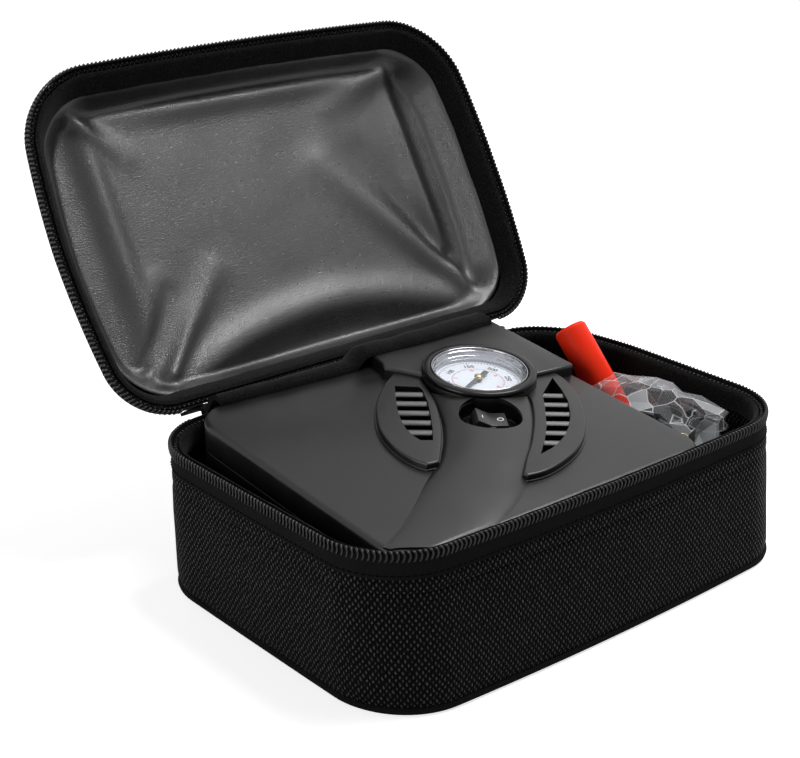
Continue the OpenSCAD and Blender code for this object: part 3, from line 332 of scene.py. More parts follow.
cloth = finish("case_cloth", (0.006, 0.006, 0.0065), 0.5, specular_ior_level=0.08)
upright, level = weave(cloth, 1.4 * mm, 1.85 * mm)
# Painted highlight in speckled glints on the upright yarns' tops, and painted shade between the yarns
painted_glint_specks = cloth.noise(700, 1, "UV")
painted_yarn_glint = cloth.math("MULTIPLY", upright, cloth.math("MULTIPLY_ADD", painted_glint_specks, 1.6, 0.2))
cloth.drive("Base Color", cloth.ramp(painted_yarn_glint, (0.25, 0.0004), (0.6, 0.004), (0.95, 0.065)))
cloth.drive("Roughness", cloth.ramp(upright, (0.3, 0.95), (0.85, 0.4)))
cloth.bump((cloth.math("MAXIMUM", upright, level), 0.4 * mm, 0.9),
           (cloth.noise(4000, 1, "UV"), 0.05 * mm, 0.5))

# %% Tape and velour
tape = finish("webbing", (0.005, 0.005, 0.0055), 0.8, specular_ior_level=0.03)
upright, level = weave(tape, 0.55 * mm, 0.5 * mm)
# Painted highlight on the upright yarns' tops and painted shade between the yarns
tape.drive("Base Color", tape.ramp(upright, (0.3, 0.003), (0.9, 0.03)))
tape.bump((tape.math("MAXIMUM", upright, level), 0.12 * mm, 0.8))
velour = finish("velour", (0.004, 0.004, 0.0045), 0.9, specular_ior_level=0.05, sheen_weight=0.05,
                sheen_roughness=0.4)
pile = velour.noise(1500, 3)
velour.drive("Base Color", velour.ramp(pile, (0.35, 0.0015), (0.65, 0.012), (0.78, 0.05)))
velour.bump((pile, 0.5 * mm, 0.9), (velour.noise(120, 2), 1.2 * mm, 0.4))

# %% [markdown]
# ### Imitation leather
#
# The lining is nearly black and has a satin gloss, so its look comes from what it reflects. Small cells
# make its grain, and two sizes of noise vary its colour and gloss.

# %% Imitation leather
leather = finish("lining_leather", (0.01, 0.01, 0.0105), 0.32, specular_ior_level=0.8)
cells = leather.node("ShaderNodeTexVoronoi", {"Vector": leather.places.outputs["Object"], "Scale": 850.0},
                     feature="DISTANCE_TO_EDGE").outputs[0]
grain = leather.ramp(cells, (0.0, 0.0), (0.12, 1.0))
leather.drive("Base Color", leather.ramp(leather.noise(60, 3), (0.3, 0.008), (0.7, 0.013)))
leather.drive("Roughness", leather.ramp(leather.noise(400, 3), (0.3, 0.27), (0.7, 0.37)))
leather.bump((grain, 0.12 * mm, 0.5), (leather.noise(1600, 2), 0.15 * mm, 0.6))

# %% [markdown]
# ### Plastics, rubber and board
#
# Moulded parts have a fine, even texture and a slightly uneven gloss. They differ only in colour,
# roughness and in how fine and deep the texture is, so one loop makes them all.

# %% Moulded plastics, rubber and board
for slot, color, roughness, size, depth in (
    ("housing_plastic", 0.005, 0.33, 2600, 0.03), ("bezel_plastic", 0.004, 0.2, 1500, 0.004),
    ("switch_plastic", 0.015, 0.35, 3000, 0.02), ("zip_nylon", 0.005, 0.36, 700, 0.02),
    ("adaptor_plastic", 0.008, 0.2, 900, 0.006), ("board", 0.03, 0.8, 500, 0.05),
    ("rubber", 0.012, 0.7, 900, 0.03), ("zip_metal", 0.012, 0.3, 900, 0.01),
):
    shine = 0.25 if slot == "bezel_plastic" else 0.42
    made = finish(slot, (color, color, color * 1.04), roughness, specular_ior_level=shine)
    texture = made.noise(size, 2)
    wear = made.noise(70, 3)
    made.drive("Roughness", made.ramp(wear, (0.3, roughness * 0.9), (0.7, min(1, roughness * 1.15))))
    made.bump((texture, depth * mm, 0.6))

red = finish("red_plastic", (1.0, 0.04, 0.016), 0.5, specular_ior_level=0.12)
red.drive("Base Color", red.ramp(red.noise(40, 2), (0.3, (0.94, 0.022, 0.004)), (0.7, (1.0, 0.036, 0.008))))
red.bump((red.noise(900, 2), 0.02 * mm, 0.5))
gear = finish("gear_plastic", (0.62, 0.6, 0.5), 0.45)
gear.bump((gear.noise(900, 2), 0.02 * mm, 0.5))
wire = finish("wire_cover", (0.4, 0.03, 0.02), 0.4)
wire.bump((wire.noise(700, 2), 0.02 * mm, 0.5))

# %% [markdown]
# ### Metals
#
# The small metal parts are brushed or cast. Noise that is squeezed along one axis varies their gloss in
# fine lines.

# %% Metals
for slot, color, roughness in (
    ("steel", (0.5, 0.5, 0.52), 0.32), ("brass", (0.72, 0.5, 0.2), 0.25),
    ("cast_alloy", (0.55, 0.55, 0.57), 0.5), ("bright_ring", (0.36, 0.36, 0.38), 0.13),
):
    made = finish(slot, color, roughness, metallic=1.0)
    brushed = made.noise(900, 3, stretch=(1, 1, 12))
    made.drive("Roughness", made.ramp(brushed, (0.3, roughness * 0.8), (0.7, roughness * 1.2)))
    made.bump((brushed, 0.004 * mm, 0.5))
needle_paint = finish("needle_paint", (0.02, 0.03, 0.045), 0.3)
needle_paint.bump((needle_paint.noise(1500, 2), 0.01 * mm, 0.5))

# %% [markdown]
# ### Card, glass and film
#
# The dial is matt card behind a thin lens. Lens and bag are clear: they hardly show face on, and towards
# their edges their pale colour shows more as a painted reflection. The film is also cloudy in patches and
# white along its creases.

# %% Card, glass and film
card = finish("dial_print", (0.78, 0.83, 0.9), 0.55, specular_ior_level=0.3)
card.drive("Base Color", card.ramp(card.noise(90, 2), (0.3, (0.76, 0.81, 0.88)), (0.7, (0.82, 0.86, 0.93))))
glass = finish("lens_glass", (0.9, 0.95, 1.0), 0.03, specular_ior_level=0.5)
painted_rim_reflection = glass.node("ShaderNodeLayerWeight", {"Blend": 0.25}).outputs["Facing"]
# Painted reflection: the lens's pale colour shows more towards its edges
glass.drive("Alpha", glass.ramp(painted_rim_reflection, (0.0, 0.02), (0.8, 0.14)))
film = finish("clear_film", (0.72, 0.74, 0.77), 0.1, specular_ior_level=0.8)
painted_edge_reflection = film.node("ShaderNodeLayerWeight", {"Blend": 0.35}).outputs["Facing"]
film_cells = {"Vector": film.places.outputs["Object"], "Scale": 75.0}
patches = film.node("ShaderNodeTexVoronoi", film_cells).outputs["Color"]
creases = film.node("ShaderNodeTexVoronoi", film_cells, feature="DISTANCE_TO_EDGE").outputs[0]
cloudy = film.ramp(patches, (0.25, 0.03), (0.5, 0.14), (0.8, 0.5))
cloudy = film.math("MAXIMUM", cloudy, film.ramp(creases, (0.0, 0.8), (0.035, 0.0)))
# Painted reflection: the film's pale colour shows more where it is seen edge on
film.drive("Alpha", film.math("MAXIMUM", cloudy, film.ramp(painted_edge_reflection, (0.0, 0.03), (0.6, 0.12), (1.0, 0.7))))
film.bump((film.noise(70, 1), 1.2 * mm, 0.5))
print(len(finishes), "finishes")

# %% [markdown]
# ## Helpers for new pieces
#
# A finished piece sits at the origin with its place in its mesh. It rides on a body of the mechanical
# model, and the plain solids it stands for are hidden.


# %% Finished pieces
def add_piece(name, bm, body, slot, replaces=(), crease=40):
    """Makes a piece from a bmesh, shades it smooth up to the crease angle and puts it on its body."""
    piece = as_object(name, bm)
    mesh = piece.data
    mesh.shade_smooth()
    mesh.set_sharp_from_angle(angle=math.radians(crease))
    mesh.materials.append(finishes[slot].material)
    if body:
        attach(piece, body)
    if replaces:
        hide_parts(*replaces)
    print(name, len(mesh.polygons), "faces")
    return piece


def extrude_chain(bm, chain, closed):
    """Extrudes a chain of vertices and gives the new chain in the same order."""
    pairs = list(zip(chain, chain[1:] + chain[:1])) if closed else list(zip(chain, chain[1:]))
    edges = [bm.edges.get(pair) for pair in pairs]
    made = bmesh.ops.extrude_edge_only(bm, edges=edges)["geom"]
    fresh = {v for v in made if isinstance(v, bmesh.types.BMVert)}
    return [next(e.other_vert(v) for e in v.link_edges if e.other_vert(v) in fresh) for v in chain]


def modified(bm, kind, **settings):
    """What a modifier makes of the bmesh, applied at once."""
    workpiece = as_object("workpiece", bm)
    step = workpiece.modifiers.new("step", kind)
    for key, value in settings.items():
        setattr(step, key, value)
    result = bmesh.new()
    result.from_object(workpiece, bpy.context.evaluated_depsgraph_get())
    bpy.data.objects.remove(workpiece)
    return result


def carved(bm, cutter, operation="DIFFERENCE"):
    """The bmesh without the cutter's shape, or only what lies in both with INTERSECT."""
    knife = as_object("knife", cutter)
    result = modified(bm, "BOOLEAN", object=knife, operation=operation, solver="EXACT", use_self=True)
    bpy.data.objects.remove(knife)
    return result


def smooth_step(low, high, x):
    """0 at low, 1 at high and beyond, and a soft S between them."""
    t = min(1.0, max(0.0, (x - low) / (high - low)))
    return t * t * (3 - 2 * t)


# %% [markdown]
# ## The case's outline
#
# Each half of the case follows one outline: a rectangle with round corners, whose walls are bowed
# because cloth never runs quite straight. It starts in the middle of the hinge side. Cloth, tape,
# velour and zip all follow it, each at its own distance.

# %% Sizes of the case
case_width = 270 * mm
case_depth = 180 * mm
corner_radius = 36 * mm
lid_hinge_radius = 27 * mm
lid_skew = 2.5 * mm
base_height = 77 * mm
wall = 3 * mm
front_flare = 8 * mm
side_tuck = -0.5 * mm
rim_sag = 2.8 * mm
front_bow = 4.5 * mm
lid_front_bow = front_bow - 1.5 * mm
rim_step = 3 * mm
base_bow = 0.5 * mm
lid_bow = 8.5 * mm
velour_thickness = 2.4 * mm
velour_height = 13 * mm
tape_thickness = 0.9 * mm
tape_height = 13 * mm
lid_line = 77.6 * mm
hinge_line = Vector((0, 94.2, 77.3)) * mm
lid_angle = 122
tape_start = 96 * mm
lid_shift = 0.2
open_lid = (Matrix.Translation(hinge_line) @ Matrix.Rotation(math.radians(-lid_angle), 4, "X")
            @ Matrix.Translation(-hinge_line))


# %% Rim
class Rim:
    """A closed outline seen from above: points, outward directions and the distance run to each."""

    def __init__(self, width, depth, corners, front_bow, side_bow, step, skew=0):
        bm = bmesh.new()
        bmesh.ops.create_grid(bm, x_segments=1, y_segments=1, size=0.5)
        bmesh.ops.scale(bm, vec=(width, depth, 1), verts=bm.verts)
        for (right, back), radius in zip(((-1, 1), (-1, -1), (1, -1), (1, 1)), corners):
            ends = [v for v in bm.verts if v.co.x * right > 0.499 * width and v.co.y * back > 0.499 * depth]
            steps = max(4, round(radius * math.pi / 2 / step))
            bmesh.ops.bevel(bm, geom=ends, offset=radius, offset_type="OFFSET", segments=steps,
                            profile=0.5, affect="VERTICES", material=-1)
        bmesh.ops.delete(bm, geom=bm.faces[:], context="FACES_ONLY")
        for edge in [e for e in bm.edges if e.calc_length() > 3 * step]:
            cuts = 2 * round(edge.calc_length() / step / 2) - 1
            bmesh.ops.subdivide_edges(bm, edges=[edge], cuts=cuts)
        start = min(bm.verts, key=lambda v: (round(-v.co.y, 6), abs(v.co.x)))
        chain = [start, min((e.other_vert(start) for e in start.link_edges), key=lambda v: v.co.x)]
        while True:
            following = [e.other_vert(chain[-1]) for e in chain[-1].link_edges]
            following = [v for v in following if v is not chain[-2]]
            if following[0] is start:
                break
            chain.append(following[0])
        self.points = []
        for v in chain:
            u, w = 2 * v.co.x / width, 2 * v.co.y / depth
            x = v.co.x + side_bow * u * (1 - w * w) + skew * max(0, -w)
            y = v.co.y - front_bow * max(0, -w) * (1 - u * u)
            self.points.append(Vector((x, y)))
        bm.free()
        count = len(self.points)
        self.outward = []
        self.run = [0.0]
        for i, p in enumerate(self.points):
            after, before = self.points[(i + 1) % count], self.points[i - 1]
            along = (after - before).normalized()
            self.outward.append(Vector((along.y, -along.x)))
            self.run.append(self.run[-1] + (after - p).length)
        self.length = self.run.pop()

    def at(self, run):
        """Point, outward direction and direction along the rim at a distance from its start."""
        i = max(j for j, r in enumerate(self.run) if r <= run + 1e-9)
        j = (i + 1) % len(self.points)
        share = (run - self.run[i]) / ((self.run[j] if j else self.length) - self.run[i])
        outward = self.outward[i].lerp(self.outward[j], share).normalized()
        return self.points[i].lerp(self.points[j], share), outward, Vector((-outward.y, outward.x))


def on_base(p, z):
    """A rim point at one height of the lower half, whose walls lean a little."""
    low = 1 - z / base_height
    back = case_depth / 2
    sag = rim_sag * (1 - low) * smooth_step(15 * mm, 80 * mm, p.y) * smooth_step(0, 60 * mm, p.x)
    return Vector((p.x * (1 - 2 * side_tuck * low / case_width),
                   back - (back - p.y) * (1 + front_flare * low / case_depth), z - sag))


def on_lid(p, z):
    """A rim point at one height above the zip line of the shut lid, taken to its open place."""
    return open_lid @ Vector((p.x, p.y, lid_line + z))


def on_leaning_lid(p, z):
    """As on_lid, but higher rings lie nearer the hinge, because the hinge wall leans least."""
    return on_lid(Vector((p.x, p.y + lid_shift * max(0.0, z - 6 * mm))), z)


def sweep(rim, profile, place, span=None):
    """Extrudes the rim, or the stretch of it in span, through the (out, up) points of a profile.
    A profile that ends where it began gives a closed band. The UV map holds real lengths."""
    bm = bmesh.new()
    closed = span is None
    first, last = span or (0, len(rim.points))
    circle = bmesh.ops.create_circle(bm, segments=len(rim.points), radius=1)["verts"]
    chain = circle[first:last]
    bmesh.ops.delete(bm, geom=circle[:first] + circle[last:], context="VERTS")
    spot = {}
    climbed = 0.0
    for step, (out, up) in enumerate(profile):
        if step:
            chain = extrude_chain(bm, chain, closed)
            climbed += math.dist((out, up), profile[step - 1])
        for k, v in enumerate(chain, first):
            v.co = place(rim.points[k] + rim.outward[k] * out, up)
            spot[v] = (rim.run[k], climbed)
    layer = bm.loops.layers.uv.new("UVMap")
    for face in bm.faces:
        runs = [spot[loop.vert][0] for loop in face.loops]
        wraps = max(runs) - min(runs) > rim.length / 2
        for loop in face.loops:
            run, climb = spot[loop.vert]
            loop[layer].uv = (run + rim.length if wraps and run < rim.length / 2 else run, climb)
    bmesh.ops.remove_doubles(bm, verts=bm.verts, dist=1e-7)
    bmesh.ops.recalc_face_normals(bm, faces=bm.faces)
    return bm


def close_ends(bm):
    """Fills every open border with a face, whose UV map is its own plane in real lengths."""
    borders = [e for e in bm.edges if e.is_boundary]
    filled = bmesh.ops.holes_fill(bm, edges=borders, sides=0)["faces"]
    layer = bm.loops.layers.uv.verify()
    for face in filled:
        face.normal_update()
        across = Vector((1, 0, 0)) if abs(face.normal.x) < 0.9 else Vector((0, 1, 0))
        up = face.normal.cross(across)
        for loop in face.loops:
            loop[layer].uv = (loop.vert.co.dot(across), loop.vert.co.dot(up))
    bmesh.ops.recalc_face_normals(bm, faces=bm.faces)
    return bm


case_rim = Rim(case_width, case_depth, [corner_radius] * 4, front_bow, base_bow, rim_step)
lid_rim = Rim(case_width, case_depth, (lid_hinge_radius, corner_radius, corner_radius, lid_hinge_radius),
              lid_front_bow, lid_bow, rim_step, lid_skew)
print("rim", len(case_rim.points), "points", round(case_rim.length, 3), "m round")


def zip_span(rim, start):
    """The stretch of the rim that leaves out the middle of the hinge side."""
    inside = [k for k, run in enumerate(rim.run) if start <= run <= rim.length - start]
    return inside[0], inside[-1] + 1


# %% [markdown]
# ## Cloth walls of the lower half
#
# The wall is a folded sheet: inside face, top fold, hem, then the outer face down to the bottom seam
# and under the floor. One profile swept round the rim makes it in one piece. Two shallow steps mark
# the hem's seams, and a little noise keeps the cloth from looking machined.

# %% Lower half
h = base_height
base_profile = [(-12 * mm, 2.2 * mm), (-wall, 2.6 * mm), (-wall, 30 * mm), (-wall, 58 * mm),
                (-wall, h - 4 * mm), (-2.2 * mm, h - 1.9 * mm), (-0.9 * mm, h - 1.6 * mm),
                (-0.2 * mm, h - 2.4 * mm), (0, h - 6 * mm), (0.1 * mm, h - 13 * mm),
                (0.5 * mm, h - 13.6 * mm), (0.9 * mm, h - 15 * mm), (0.9 * mm, h - 18 * mm),
                (0.7 * mm, h - 19.2 * mm), (0.1 * mm, h - 19.8 * mm), (0.6 * mm, h - 20.8 * mm),
                (1.0 * mm, h - 24 * mm), (1.2 * mm, 42 * mm), (1.1 * mm, 30 * mm), (0.9 * mm, 18 * mm),
                (0.6 * mm, 9 * mm), (0.3 * mm, 6 * mm), (-0.3 * mm, 4.6 * mm), (-0.5 * mm, 2 * mm),
                (-1.6 * mm, 0.5 * mm), (-4 * mm, 0.1 * mm), (-12 * mm, 0.05 * mm)]
base = close_ends(sweep(case_rim, base_profile, on_base))


def soften(bm, size, depth, keep=lambda p: 1.0):
    """Moves every point a little along its normal by smooth noise, as cloth does."""
    bm.normal_update()
    moves = [(v, v.normal * noise.noise(v.co / size) * depth * keep(v.co)) for v in bm.verts]
    for v, move in moves:
        v.co += move


def free_cloth(p):
    """1 on the free part of the wall, 0 at the bottom seam and at the zip."""
    return smooth_step(5 * mm, 15 * mm, p.z) * smooth_step(77 * mm, 60 * mm, p.z)


soften(base, 34 * mm, 0.7 * mm, free_cloth)
add_piece("case_base_cloth", base, "case", "case_cloth", ["base_shell"])

# %% [markdown]
# ## Piping, cloth of the lid and zip tapes
#
# A round cord in a cloth cover runs along the bottom seam, so a circle is swept round the rim. The walls
# of the lid lean inwards to a smaller top, and one profile again makes them in one piece. The tapes are
# flat bands round both mouths that leave out the middle of the hinge side.

# %% Piping round the bottom edge
piping_radius = 1.7 * mm
circle_steps = 10
piping_profile = [(-1 * mm + piping_radius * math.cos(a), 2.2 * mm + piping_radius * math.sin(a))
                  for a in [2 * math.pi * k / circle_steps for k in range(circle_steps + 1)]]
piping = sweep(case_rim, piping_profile, on_base)
add_piece("case_base_piping", piping, "case", "webbing", ["base_bottom_piping"], crease=80)

# %% Cloth of the lid
lid_profile = [(-25 * mm, 30 * mm), (-17 * mm, 27.5 * mm), (-11.5 * mm, 21 * mm), (-7.6 * mm, 15 * mm),
               (-4.6 * mm, 9.5 * mm), (-wall, 6 * mm), (-wall, 4 * mm), (-2.2 * mm, 1.9 * mm),
               (-0.9 * mm, 1.6 * mm), (-0.2 * mm, 2.4 * mm), (0, 5.6 * mm), (-0.3 * mm, 6.6 * mm),
               (-1.4 * mm, 8 * mm), (-4 * mm, 12.5 * mm), (-7.6 * mm, 19 * mm), (-11.8 * mm, 25.5 * mm),
               (-16 * mm, 29.6 * mm), (-21 * mm, 32.2 * mm), (-28 * mm, 33 * mm)]
lid_cloth = close_ends(sweep(lid_rim, lid_profile, on_leaning_lid))
add_piece("case_lid_cloth", lid_cloth, "lid", "case_cloth", ["lid_shell", "lid_board"])

# %% Zip tapes
tape_profile = [(0.05 * mm, 0), (tape_thickness, 0), (tape_thickness, 5 * mm),
                (tape_thickness * 0.9, tape_height), (0.05 * mm, tape_height), (0.05 * mm, 0)]
base_tape_profile = [(out, base_height - up) for out, up in tape_profile]
lid_tape_profile = [(out, up * 0.48) for out, up in tape_profile]
for name, rim, profile, place, body, node in (
    ("case_base_zip_tape", case_rim, base_tape_profile, on_base, "case", "base_zip_tape"),
    ("case_lid_zip_tape", lid_rim, lid_tape_profile, on_lid, "lid", "lid_zip_tape"),
):
    band = close_ends(sweep(rim, profile, place, zip_span(rim, tape_start)))
    add_piece(name, band, body, "webbing", [node])

# %% [markdown]
# ## Zip coils and stitches
#
# A nylon zip is a row of bent loops. Seen from outside, each loop is a round head at the zip line and a
# curved leg that runs away from it over the tape. One loop of a few dozen faces is bent from a tube and
# repeated along the rim, and so is one stitch of thread.


# %% Tubes
def tube(path, radii, sides):
    """A tube along a path, made by extruding a circle from point to point."""
    bm = bmesh.new()
    ring = bmesh.ops.create_circle(bm, segments=sides, radius=1)["verts"]
    facing = None
    for k, centre in enumerate(path):
        ahead = (path[min(k + 1, len(path) - 1)] - path[max(k - 1, 0)]).normalized()
        if facing is None:
            facing = ahead.orthogonal()
        facing = (facing - ahead * facing.dot(ahead)).normalized()
        across = ahead.cross(facing)
        if k:
            ring = extrude_chain(bm, ring, True)
        for j, v in enumerate(ring):
            angle = 2 * math.pi * j / sides
            v.co = centre + (facing * math.cos(angle) + across * math.sin(angle)) * radii[k]
    return close_ends(bm)


def repeat(template, matrices):
    """One bmesh with the template at every matrix."""
    mesh = bpy.data.meshes.new("template")
    template.to_mesh(mesh)
    template.free()
    result = bmesh.new()
    for matrix in matrices:
        before = len(result.verts)
        result.from_mesh(mesh)
        result.verts.ensure_lookup_table()
        bmesh.ops.transform(result, matrix=matrix, verts=result.verts[before:])
    bpy.data.meshes.remove(mesh)
    return result


def along_rim(rim, place, runs, out, up):
    """Matrices that stand on the rim: x runs along it, y outwards, and z down on the shut case."""
    matrices = []
    for run in runs:
        p, outward, along = rim.at(run)
        here = place(p + outward * out, up)
        x_axis = (place(p + outward * out + along * mm, up) - here).normalized()
        y_axis = (place(p + outward * (out + mm), up) - here).normalized()
        z_axis = x_axis.cross(y_axis).normalized()
        matrices.append(Matrix.Translation(here) @ Matrix((x_axis, y_axis, z_axis)).transposed().to_4x4())
    return matrices


# %% Coils
tooth_pitch = 2.4 * mm


def zip_loop(down):
    """One loop of the coil, with its leg away from the zip line: down is 1 below it and -1 above."""
    path = [(-0.5, -0.5, 0.2), (0.1, 0.25, 0.15), (0.75, 0.65, 0.8), (0.95, 0.7, 1.9),
            (0.75, 0.6, 3.2), (0.3, 0.45, 4.3), (-0.2, 0.1, 5.1)]
    radii = [0.5, 0.66, 0.56, 0.5, 0.48, 0.44, 0.25]
    return tube([Vector((x, y, z * down)) * mm for x, y, z in path], [r * mm for r in radii], 6)


def spaced(rim, start, pitch):
    """Distances along the rim, one pitch apart, that leave out the middle of the hinge side."""
    count = int((rim.length - 2 * start) / pitch)
    return [start + pitch * (k + 0.5) for k in range(count)]


coil_start = tape_start + 11.5 * mm
for name, rim, place, line, down, body, node in (
    ("case_base_zip_coil", case_rim, on_base, base_height, 1, "case", "base_zip_teeth"),
    ("case_lid_zip_coil", lid_rim, on_lid, 0, -1, "lid", "lid_zip_teeth"),
):
    spots = along_rim(rim, place, spaced(rim, coil_start, tooth_pitch), tape_thickness, line)
    add_piece(name, repeat(zip_loop(down), spots), body, "zip_nylon", [node], crease=180)

# %% Stitches
stitch_pitch = 3.1 * mm
stitch_path = [Vector((x, y, 0)) * mm for x, y in ((-1.2, -0.25), (-0.6, 0.15), (0.6, 0.15), (1.2, -0.25))]


def stitches(rim, place, start, out, up):
    """A row of short stitches along the rim."""
    thread = tube(stitch_path, [0.22 * mm, 0.3 * mm, 0.3 * mm, 0.22 * mm], 5)
    return repeat(thread, along_rim(rim, place, spaced(rim, start, stitch_pitch), out, up))


for name, rim, place, body, out, up in (
    ("case_base_stitches", case_rim, on_base, "case", tape_thickness, base_height - 11.2 * mm),
    ("case_lid_stitches", lid_rim, on_leaning_lid, "lid", -1.9 * mm, 9 * mm),
):
    add_piece(name, stitches(rim, place, tape_start, out, up), body, "webbing", crease=180)

# %% [markdown]
# ## Velour bands
#
# Soft padded bands cover the raw edges inside both mouths. They are swept round the rim like the cloth,
# and fine noise makes them a little uneven.

# %% Velour bands inside both mouths
def padded_band(low, high):
    """Profile of a padded band on the inside of the wall, between two heights."""
    outer, inner = -wall - 0.05 * mm, -wall - velour_thickness
    return [(outer, low), (inner * 0.75, low + 0.2 * mm), (inner, low + 1.6 * mm),
            (inner - 0.3 * mm, (low + high) / 2), (inner, high - 2.4 * mm),
            (inner + 0.8 * mm, high - 0.8 * mm), (inner + 2 * mm, high - 0.1 * mm),
            (outer, high), (outer, low)]


base_band = sweep(case_rim, padded_band(base_height - velour_height, base_height - 1.5 * mm), on_base)
soften(base_band, 9 * mm, 0.35 * mm)
add_piece("case_base_velour", base_band, "case", "velour", ["base_inner_band"])
lid_band_profile = [(-3.05 * mm, 1.2 * mm), (-4.6 * mm, 1.3 * mm), (-5.6 * mm, 2.2 * mm),
                    (-7.4 * mm, 4.6 * mm), (-9.2 * mm, 7.2 * mm), (-10.6 * mm, 9.4 * mm),
                    (-10.9 * mm, 10.6 * mm), (-10.2 * mm, 11.3 * mm), (-8 * mm, 11.4 * mm),
                    (-4.4 * mm, 8 * mm), (-3.1 * mm, 5 * mm), (-3.05 * mm, 1.2 * mm)]
lid_band = sweep(lid_rim, lid_band_profile, on_leaning_lid)
soften(lid_band, 9 * mm, 0.35 * mm)
add_piece("case_lid_velour", lid_band, "lid", "velour", ["lid_inner_band"])

# %% [markdown]
# ## Hinge cloth
#
# The two halves are joined by one strip of the same tape along the hinge side. It crosses the joint,
# so it is one sheet that bends between the case and the lid.

# %% Hinge strip
hinge_thickness = 1.6 * mm
hinge_reach = 20 * mm
hinge_half = tape_start + 3 * mm
hinge_steps = 12
hinge_route = [Vector((0, case_depth / 2 + 1.0 * mm, base_height - hinge_reach)),
               Vector((0, case_depth / 2 + 1.0 * mm, base_height - 6 * mm)),
               Vector((0, case_depth / 2 + 1.6 * mm, base_height - 3.2 * mm))]
bend_radius = 1.1 * mm
for k in range(hinge_steps + 1):
    turn = math.radians(180 + 10 - k * (lid_angle + 20) / hinge_steps)
    hinge_route.append(hinge_line + Vector((0, math.cos(turn), math.sin(turn))) * bend_radius)
for y, z in ((1.6, 3.2), (1.0, 6.0), (1.0, 20.0)):
    hinge_route.append(open_lid @ Vector((0, case_depth / 2 + y * mm, lid_line + z * mm)))
strip_columns = 40
strip = bmesh.new()
bmesh.ops.create_grid(strip, x_segments=strip_columns, y_segments=len(hinge_route) - 1, size=1)
layer = strip.loops.layers.uv.verify()
climbs = [0.0]
for a, b in zip(hinge_route, hinge_route[1:]):
    climbs.append(climbs[-1] + (b - a).length)
rows = {}
for v in strip.verts:
    row = round((v.co.y + 1) / 2 * (len(hinge_route) - 1))
    rows[v] = (v.co.x * hinge_half, climbs[row])
    v.co = hinge_route[row] + Vector((v.co.x * hinge_half, 0, 0))
for face in strip.faces:
    for loop in face.loops:
        loop[layer].uv = rows[loop.vert]
bmesh.ops.recalc_face_normals(strip, faces=strip.faces)
hinge = add_piece("case_hinge_cloth", strip, None, "webbing", ["hinge_band", "lid_hinge_band"], crease=180)
thicken = hinge.modifiers.new("thickness", "SOLIDIFY")
thicken.thickness = hinge_thickness
thicken.offset = 0
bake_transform(hinge)

# %% [markdown]
# ## Gusset
#
# A padded roll of velour closes the gap between the hinge and the back of the housing. Its profile is
# extruded along the hinge, reaches further forward towards the right and climbs over the hood. The lid
# presses it flat when it shuts.

# %% Gusset over the back of the housing
gusset_profile = [(88.2, 70), (87.5, 78), (84.5, 84.5), (79.5, 89.6), (74, 91.4), (69.8, 90.8), (67.6, 88.8),
                  (67.4, 86.9), (70, 87.8), (74, 88.6), (78, 87.2), (82.5, 81.5), (85.6, 76), (86.4, 70)]
gusset_left, gusset_right, gusset_steps = -101 * mm, 71 * mm, 60


def gusset_point(x, y, z):
    """A point of the profile at x: it reaches further forward to the right and climbs over the hood."""
    reach = min(1.15, 0.75 + (x - gusset_left) / mm * 0.0031)
    climb = 6.2 * smooth_step(-22 * mm, -13 * mm, x) * smooth_step(66, 78, z)
    back = 88.2
    return Vector((x, (back - (back - y) * reach) * mm, (z + climb + 0.19 * (back - y) * (1 - reach)) * mm))


gusset = bmesh.new()
ring = [gusset.verts.new(gusset_point(gusset_left, y, z)) for y, z in gusset_profile]
for a, b in zip(ring, ring[1:] + ring[:1]):
    gusset.edges.new((a, b))
for k in range(1, gusset_steps + 1):
    ring = extrude_chain(gusset, ring, True)
    x = gusset_left + (gusset_right - gusset_left) * k / gusset_steps
    for v, (y, z) in zip(ring, gusset_profile):
        v.co = gusset_point(x, y, z)
gusset = close_ends(gusset)
soften(gusset, 12 * mm, 0.7 * mm)
gusset_piece = add_piece("case_hinge_gusset", gusset, "case", "velour", crease=60)
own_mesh(gusset_piece)

# %% [markdown]
# ## Lid lining
#
# The lining is soft imitation leather over thin foam. It falls steeply behind the velour band, swells
# back towards the mouth, and is pulled into the corners, so long folds run from them to the middle.

# %% Lining panel
lining_columns, lining_rows = 150, 110
lining_width = case_width - 18 * mm
lining_depth_size = case_depth - 18 * mm
lining_corner = corner_radius - 9 * mm
lining_rim = 10.4 * mm


def rounded(a, b, width, depth, corner):
    """Takes the square from -1 to 1 to a rectangle with round corners, ring by ring."""
    reach = max(abs(a), abs(b))
    if reach < 1e-9:
        return Vector((0, 0))
    p = Vector((a / reach * width / 2, b / reach * depth / 2))
    centre = Vector((math.copysign(width / 2 - corner, p.x), math.copysign(depth / 2 - corner, p.y)))
    if abs(p.x) > abs(centre.x) and abs(p.y) > abs(centre.y):
        p = centre + (p - centre).normalized() * corner
    u, w = 2 * p.x / width, 2 * p.y / depth
    p = Vector((p.x + lid_bow * u * (1 - w * w) + lid_skew * max(0, -w),
                p.y - lid_front_bow * max(0, -w) * (1 - u * u) + 1 * mm))
    return p * reach


# Folds on the shut lid in millimetres from its middle: start, end, half width and height
half_width, half_depth = 135, 90
folds = [((half_width - 23, half_depth - 20), (42, -22), 9, 1.8),
         ((half_width - 31, half_depth - 45), (72, -22), 8, -1.2),
         ((23 - half_width, half_depth - 18), (-86, 22), 6, 1.3),
         ((27 - half_width, half_depth - 28), (-82, 28), 5, -1.2),
         ((38 - half_width, half_depth - 20), (-50, 22), 6, 1.5),
         ((30 - half_width, 18 - half_depth), (-78, -48), 6, 1.2),
         ((half_width - 17, 16 - half_depth), (58, -56), 7, 1.2)]
lining_drop = 12.6
fold_strength = 3.4
ridge_strength = 2.7
lining_swell = 3.2
arch_middle = 10


def arch(x):
    """Where the lining's crest runs beside the hinge."""
    return half_depth - 36 + 22 * ((x - arch_middle) / 100) ** 2


